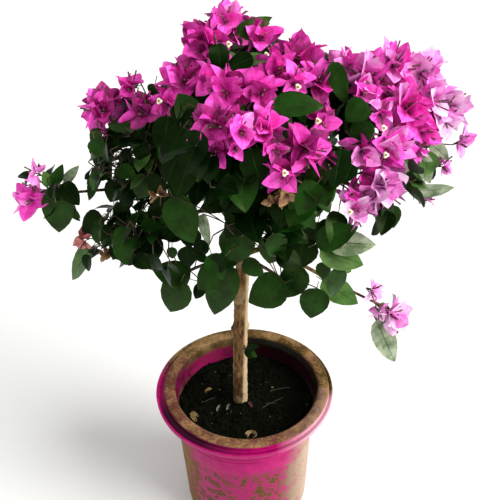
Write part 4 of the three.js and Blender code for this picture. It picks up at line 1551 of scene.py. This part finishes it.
class BOUGAINVILLEA_OT_soil(bpy.types.Operator):
    """Makes the lumpy soil, and the crumbs, chips and dry scraps that lie on it"""

    bl_idname = "bougainvillea.soil"
    bl_label = "Make the soil"

    def execute(self, context):
        colours = context.scene.bougainvillea_colours
        edge = inner_radius(SOIL_LEVEL) - SOIL_GAP
        foot = inner_radius(SOIL_FLOOR) - SOIL_GAP
        top = [(edge * i / SOIL_RINGS, SOIL_LEVEL) for i in range(SOIL_RINGS + 1)]
        bm = turned([*top, (foot, SOIL_FLOOR), (0, SOIL_FLOOR)], steps=120)
        for vert in bm.verts:
            if vert.co.z > SOIL_LEVEL - 1e-4:
                vert.co.z = soil_height(vert.co.x, vert.co.y)
        damp = Finish(colours.soil, colours.soil_dry, 0.004, 0.95, 0.9)
        earth = mottled("potting_soil", damp, Specular_IOR_Level=0.04)
        add_piece("soil_lumpy", mesh_of("soil_lumpy", bm), [earth], ["soil"], sharp=180)
        crumb = bmesh.new()
        bmesh.ops.create_icosphere(crumb, subdivisions=1, radius=1)
        for vert in crumb.verts:
            vert.co *= 1 + 0.3 * noise.noise(vert.co * 2.3)
        crumb = Template(crumb)
        chips, scraps = plain("husk_chips"), plain("green_scraps")
        scatter("soil_crumbs", crumb, earth, edge, count=900, sizes=(0.0008, 0.0030), seed=7)
        scatter("soil_chips", crumb, chips, edge, count=28, sizes=(0.0005, 0.0012), seed=8)
        scatter("soil_scraps", crumb, scraps, edge, count=9, sizes=(0.0010, 0.0022), seed=9)
        self.add_scraps()
        self.add_sticks()
        self.add_husk()
        return {"FINISHED"}

    def add_scraps(self):
        """Curled dry leaves and bracts."""
        template = blade_template(columns=5, rows=6, rib=0.03)
        for tone, group in split_by(LITTER, lambda fallen: fallen.tone).items():
            blades = []
            for fallen in group:
                root, tip = on_soil(*fallen.root), on_soil(*fallen.tip)
                along = tip - root
                rise = (along.normalized() + UP * 0.4).normalized()
                size = (along.length, fallen.width, fallen.curl, 0.5, 0.8)
                blades.append(Blade(root, rise, UP, *size))
            places = placed_blades(template, blades, leaf_outline, LEAF_THICKNESS)
            skin = mottled(f"dry_leaf_{tone}", Finish(*LITTER_TONES[tone], 0.002, 0.8, 0.4))
            add_copies(f"litter_{tone}", template, places, [skin] * 3, ["soil"])

    def add_sticks(self):
        """Thin dry sticks."""
        sticks = []
        for ends in STICKS:
            start, tip = on_soil(*ends[0]), on_soil(*ends[1])
            sticks.append(Tube(start, start.lerp(tip, 0.5) + UP * 0.002, tip, *STICK_RADII))
        twig = tube_template(sides=6, rings=6)
        add_copies("litter_sticks", twig, swept(twig, sticks), [plain("dry_stick")], ["soil"])

    def add_husk(self):
        """Half a nut's husk, a thick round bowl squashed to an oval that lies a little aslant."""
        bowl = [(0, -0.45), (0.75, -0.25), (1, 0.25), (0.9, 0.4), (0.78, 0.2), (0.5, -0.1), (0, -0.2)]
        bm = turned(filleted([(*corner, 0.15 if 0 < corner[0] else 0) for corner in bowl]), steps=28)
        lean = Matrix.Rotation(math.radians(12), 4, "X") @ Matrix.Diagonal((1.15, 0.85, 0.8, 1))
        place = Matrix.Translation(on_soil(*HUSK)) @ lean @ Matrix.Scale(HUSK_RADIUS, 4)
        bmesh.ops.transform(bm, matrix=place, verts=bm.verts[:])
        add_piece("litter_husk", mesh_of("litter_husk", bm), [plain("nut_husk")], ["soil"])


def scatter(name, template, material, edge, count, sizes, seed):
    """Strews turned and squashed copies of a small shape over the soil, nearly to its edge."""
    roll = dice(seed)
    places = []
    for _ in range(count):
        away = edge * 0.97 * math.sqrt(roll(0.02, 1))
        turn = roll(0, math.tau)
        x, y = away * math.cos(turn), away * math.sin(turn)
        size = lerp(*sizes, roll(0, 1) ** 3)
        spin = Matrix.Rotation(roll(0, math.tau), 3, "Z") @ Matrix.Rotation(roll(-0.6, 0.6), 3, "X")
        shape = spin @ Matrix.Diagonal((size * roll(1, 1.8), size, size * 0.7))
        copy = template.verts @ np.array(shape).T
        places.append(copy + [x, y, soil_height(x, y) + size * 0.2])
    add_copies(name, template, np.array(places), [material], ["soil"])


class BOUGAINVILLEA_OT_limbs(bpy.types.Operator):
    """Makes the trunk and boughs with the bark's relief"""

    bl_idname = "bougainvillea.limbs"
    bl_label = "Make the trunk and boughs"

    def execute(self, context):
        limbs = grow_limbs()
        colours = context.scene.bougainvillea_colours
        stem = tube_template(sides=40, rings=150)
        trunk = swept(stem, [limbs["trunk"][0]], trunk_relief)
        # The trunk carries a painted highlight down its right side.
        skin = bark("trunk_bark", colours, lit_side_paint=0.85)
        add_copies("trunk_bark", stem, trunk, [skin], ["trunk"], sharp=180)
        branch = tube_template(sides=14, rings=36)
        boughs = swept(branch, [limbs[name][0] for name in NAMES], bark_relief)
        skin = bark("bough_bark", colours, lit_side_paint=0)
        add_copies("bough_bark", branch, boughs, [skin], BOUGH_NODES, sharp=180)
        return {"FINISHED"}


def split_by(items, key):
    """Items in lists by what key gives for each."""
    groups = {}
    for item in items:
        groups.setdefault(key(item), []).append(item)
    return groups


class BOUGAINVILLEA_OT_foliage(bpy.types.Operator):
    """Makes the twigs and leaves of every mass"""

    bl_idname = "bougainvillea.foliage"
    bl_label = "Make the twigs and leaves"

    def execute(self, context):
        colours = context.scene.bougainvillea_colours
        limbs = grow_limbs()
        sprays = grow_sprays(limbs, context.scene.bougainvillea_sizes) + grow_lone_leaves(limbs)
        tubes = [tube for spray in sprays for tube in spray.tubes]
        twig = tube_template(sides=5, rings=5)
        skin = plain("young_twig_bark")
        add_copies("twigs", twig, swept(twig, tubes), [skin], MASS_NODES)
        stalks = [stalk_of(leaf) for spray in sprays for leaf in spray.leaves]
        stalk = tube_template(sides=3, rings=1)
        green = plain("leaf_stalk")
        add_copies("leaf_stalks", stalk, swept(stalk, stalks), [green], MASS_NODES)
        template = blade_template(columns=5, rows=8, rib=0.03)
        for tone, group in split_by(sprays, lambda spray: spray.tone).items():
            leaves = [leaf for spray in group for leaf in spray.leaves]
            places = placed_blades(template, leaves, leaf_outline, LEAF_THICKNESS)
            materials = leaf_materials(colours, tone)
            add_copies(f"leaves_{tone}", template, places, materials, MASS_NODES)
        return {"FINISHED"}


def stalk_of(leaf):
    """A leaf's stalk, from its twig to a little way into the blade."""
    start = leaf.root - leaf.along * PETIOLE
    tip = leaf.root + leaf.along * 0.001
    return straight(start, tip, STALK_RADII)


class BOUGAINVILLEA_OT_blossom(bpy.types.Operator):
    """Makes the heads of blossom: stalks, bracts, flower tubes and their cream stars"""

    bl_idname = "bougainvillea.blossom"
    bl_label = "Make the blossom"

    def execute(self, context):
        tubes, flowers = grow_heads(grow_limbs(), context.scene.bougainvillea_sizes)
        twig = tube_template(sides=5, rings=5)
        skin = plain("flower_stalk")
        add_copies("flower_stalks", twig, swept(twig, tubes), [skin], MASS_NODES)
        roll = dice(BLOSSOM_SEED)
        template = blade_template(columns=5, rows=6, rib=0.05)
        tones = split_by(flowers, lambda flower: bract_tone(flower, roll))
        for tone, group in tones.items():
            bracts = [bract for flower in group for bract in flower.bracts]
            places = placed_blades(template, bracts, bract_outline, BRACT_THICKNESS)
            first, second = BRACT_TONES[tone]
            paper = mottled(f"papery_bract_{tone}", Finish(first, second, 0.008, 0.62, 0.2))
            vein = mottled(f"bract_vein_{tone}", Finish(first, first, 0.008, 0.6, 0.1))
            materials = [paper, paper, vein]
            add_copies(f"bracts_{tone}", template, places, materials, MASS_NODES)
        seen_ones = [star_tube(seen(*pixel), flowers) for pixel in SEEN_STARS]
        inner = [tube for flower in flowers for tube in flower_tubes(flower, roll)] + seen_ones
        tube = tube_template(sides=5, rings=2)
        rose = plain("flower_tube")
        add_copies("flower_tubes", tube, swept(tube, inner), [rose], MASS_NODES)
        behind = [tube for tube in inner if tube.tip.y > HIDDEN_DEPTH]
        open_ones = seen_ones + [tube for tube in behind if roll(0, 1) < STAR_SHARE]
        star = star_template()
        materials = [plain("cream_flower"), plain("flower_eye")]
        add_copies("flower_stars", star, placed_stars(star, open_ones), materials, MASS_NODES)
        return {"FINISHED"}


def bract_tone(flower, roll):
    """The tone that a flower is dealt from those of its tint."""
    tones = TINT_TONES[flower.tint]
    return tones[min(int(roll(0, len(tones))), len(tones) - 1)]


def flower_tubes(flower, roll):
    """A slim tube stands at the foot of each bract, between it and the flower's axis. Some are
    still short, and others stick out past the bracts."""
    tubes = []
    for bract in flower.bracts:
        lean = (flower.axis * 0.9 + bract.along * roll(0.1, 0.5)).normalized()
        tip = flower.root + lean * bract.length * roll(0.35, 0.85)
        bow = flower.root.lerp(tip, 0.5) + bract.along * 0.001
        tubes.append(Tube(flower.root, bow, tip, *FLOWER_TUBE_RADII))
    return tubes


def star_tube(place, flowers):
    """The tube that carries a star at a place, from the foot of the flower nearest to it."""
    root = min((flower.root for flower in flowers), key=lambda root: (root - place).length)
    return Tube(root, root.lerp(place, 0.5) + UP * 0.001, place, *FLOWER_TUBE_RADII)


def star_template():
    """A small flat five-lobed flower of radius 1, with a darker eye in its raised middle."""
    bm = bmesh.new()
    bmesh.ops.create_cone(bm, cap_ends=True, segments=10, radius1=1, radius2=0.4, depth=0.3)
    for vert in bm.verts:
        turn = math.atan2(vert.co.y, vert.co.x)
        if vert.co.z < 0 and round(turn / (math.tau / 10)) % 2:
            vert.co.xy *= 0.7
    for face in bm.faces:
        face.material_index = int(face.calc_center_median().z > 0.14)
    bmesh.ops.recalc_face_normals(bm, faces=bm.faces[:])
    return Template(bm)


def placed_stars(template, tubes):
    """Where the vertices of the stars are: one at each tube's tip, and those in front turned
    towards the camera."""
    places = []
    for tube in tubes:
        ahead = (tube.tip - tube.start).normalized()
        if tube.tip.y < HIDDEN_DEPTH:
            ahead = (ahead * 0.5 - SIGHT).normalized()
        side = square_to(ahead)
        axes = np.array([side, ahead.cross(side), ahead]) * STAR_RADIUS
        places.append(template.verts @ axes + np.array(tube.tip))
    return np.array(places)


# The lamps face this place.
LIT_PLACE = Vector((0, 0, 0.45))


class BOUGAINVILLEA_OT_stage(bpy.types.Operator):
    """Makes the floor, the lights and the camera"""

    bl_idname = "bougainvillea.stage"
    bl_label = "Make the stage"

    def execute(self, context):
        settings = context.scene.bougainvillea_stage
        bm = bmesh.new()
        bmesh.ops.create_grid(bm, x_segments=1, y_segments=1, size=12)
        floor = bpy.data.objects.new("floor", mesh_of("floor", bm))
        context.scene.collection.objects.link(floor)
        skin = Skin("plain_floor", Roughness=0.6, Base_Color=linear(settings.floor))
        floor.data.materials.append(skin.material)
        key = self.add_light("key", "SUN", (1.7, -0.65, 1.7), "#fffdfa", settings.key_strength)
        key.angle = math.radians(42)
        fill = self.add_light("fill", "AREA", (-1.6, -1.3, 1.6), "#fffdf6", settings.fill_power)
        fill.size = 1.6
        world = bpy.data.worlds.new("soft_daylight")
        world.use_nodes = True
        background = world.node_tree.nodes["Background"]
        background.inputs["Color"].default_value = linear("#f7f7f7")
        background.inputs["Strength"].default_value = 0.65
        context.scene.world = world
        context.scene.view_settings.view_transform = "Standard"
        self.add_camera(context)
        return {"FINISHED"}

    def add_light(self, name, kind, place, colour, energy):
        """A soft lamp that faces the plant."""
        lamp = bpy.data.lights.new(name, kind)
        lamp.color = linear(colour)[:3]
        lamp.energy = energy
        light = bpy.data.objects.new(name, lamp)
        light.location = place
        light.rotation_euler = (LIT_PLACE - Vector(place)).to_track_quat("-Z", "Y").to_euler()
        bpy.context.scene.collection.objects.link(light)
        return lamp

    def add_camera(self, context):
        """The camera stands in front, a step away, and looks down at the photograph's angle."""
        camera = bpy.data.objects.new("camera", bpy.data.cameras.new("camera"))
        camera.data.lens = LENS
        camera.data.sensor_width = SENSOR
        camera.matrix_world = Matrix.Translation(CAMERA_PLACE) @ CAMERA_TURN.to_4x4()
        context.scene.collection.objects.link(camera)
        context.scene.camera = camera


class BOUGAINVILLEA_PT_panel(bpy.types.Panel):
    """Lists the pieces and their settings in the sidebar"""

    bl_label = "Bougainvillea"
    bl_idname = "BOUGAINVILLEA_PT_panel"
    bl_space_type = "VIEW_3D"
    bl_region_type = "UI"
    bl_category = "Bougainvillea"

    def draw(self, context):
        for operator in OPERATORS:
            self.layout.operator(operator.bl_idname)
        for name, group in SETTINGS.items():
            box = self.layout.box()
            for prop in group.__annotations__:
                box.prop(getattr(context.scene, name), prop)


OPERATORS = [
    BOUGAINVILLEA_OT_stage,
    BOUGAINVILLEA_OT_pot,
    BOUGAINVILLEA_OT_soil,
    BOUGAINVILLEA_OT_limbs,
    BOUGAINVILLEA_OT_foliage,
    BOUGAINVILLEA_OT_blossom,
]
SETTINGS = {
    "bougainvillea_colours": BougainvilleaColours,
    "bougainvillea_sizes": BougainvilleaSizes,
    "bougainvillea_stage": BougainvilleaStage,
}


def register():
    for group in [*SETTINGS.values(), *OPERATORS, BOUGAINVILLEA_PT_panel]:
        bpy.utils.register_class(group)
    for name, group in SETTINGS.items():
        setattr(bpy.types.Scene, name, bpy.props.PointerProperty(type=group))


def unregister():
    for name in SETTINGS:
        delattr(bpy.types.Scene, name)
    for group in [BOUGAINVILLEA_PT_panel, *reversed(OPERATORS), *SETTINGS.values()]:
        bpy.utils.unregister_class(group)


def main():
    register()
    for operator in OPERATORS:
        group, name = operator.bl_idname.split(".")
        getattr(getattr(bpy.ops, group), name)()
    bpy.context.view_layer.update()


if __name__ == "__main__":
    main()
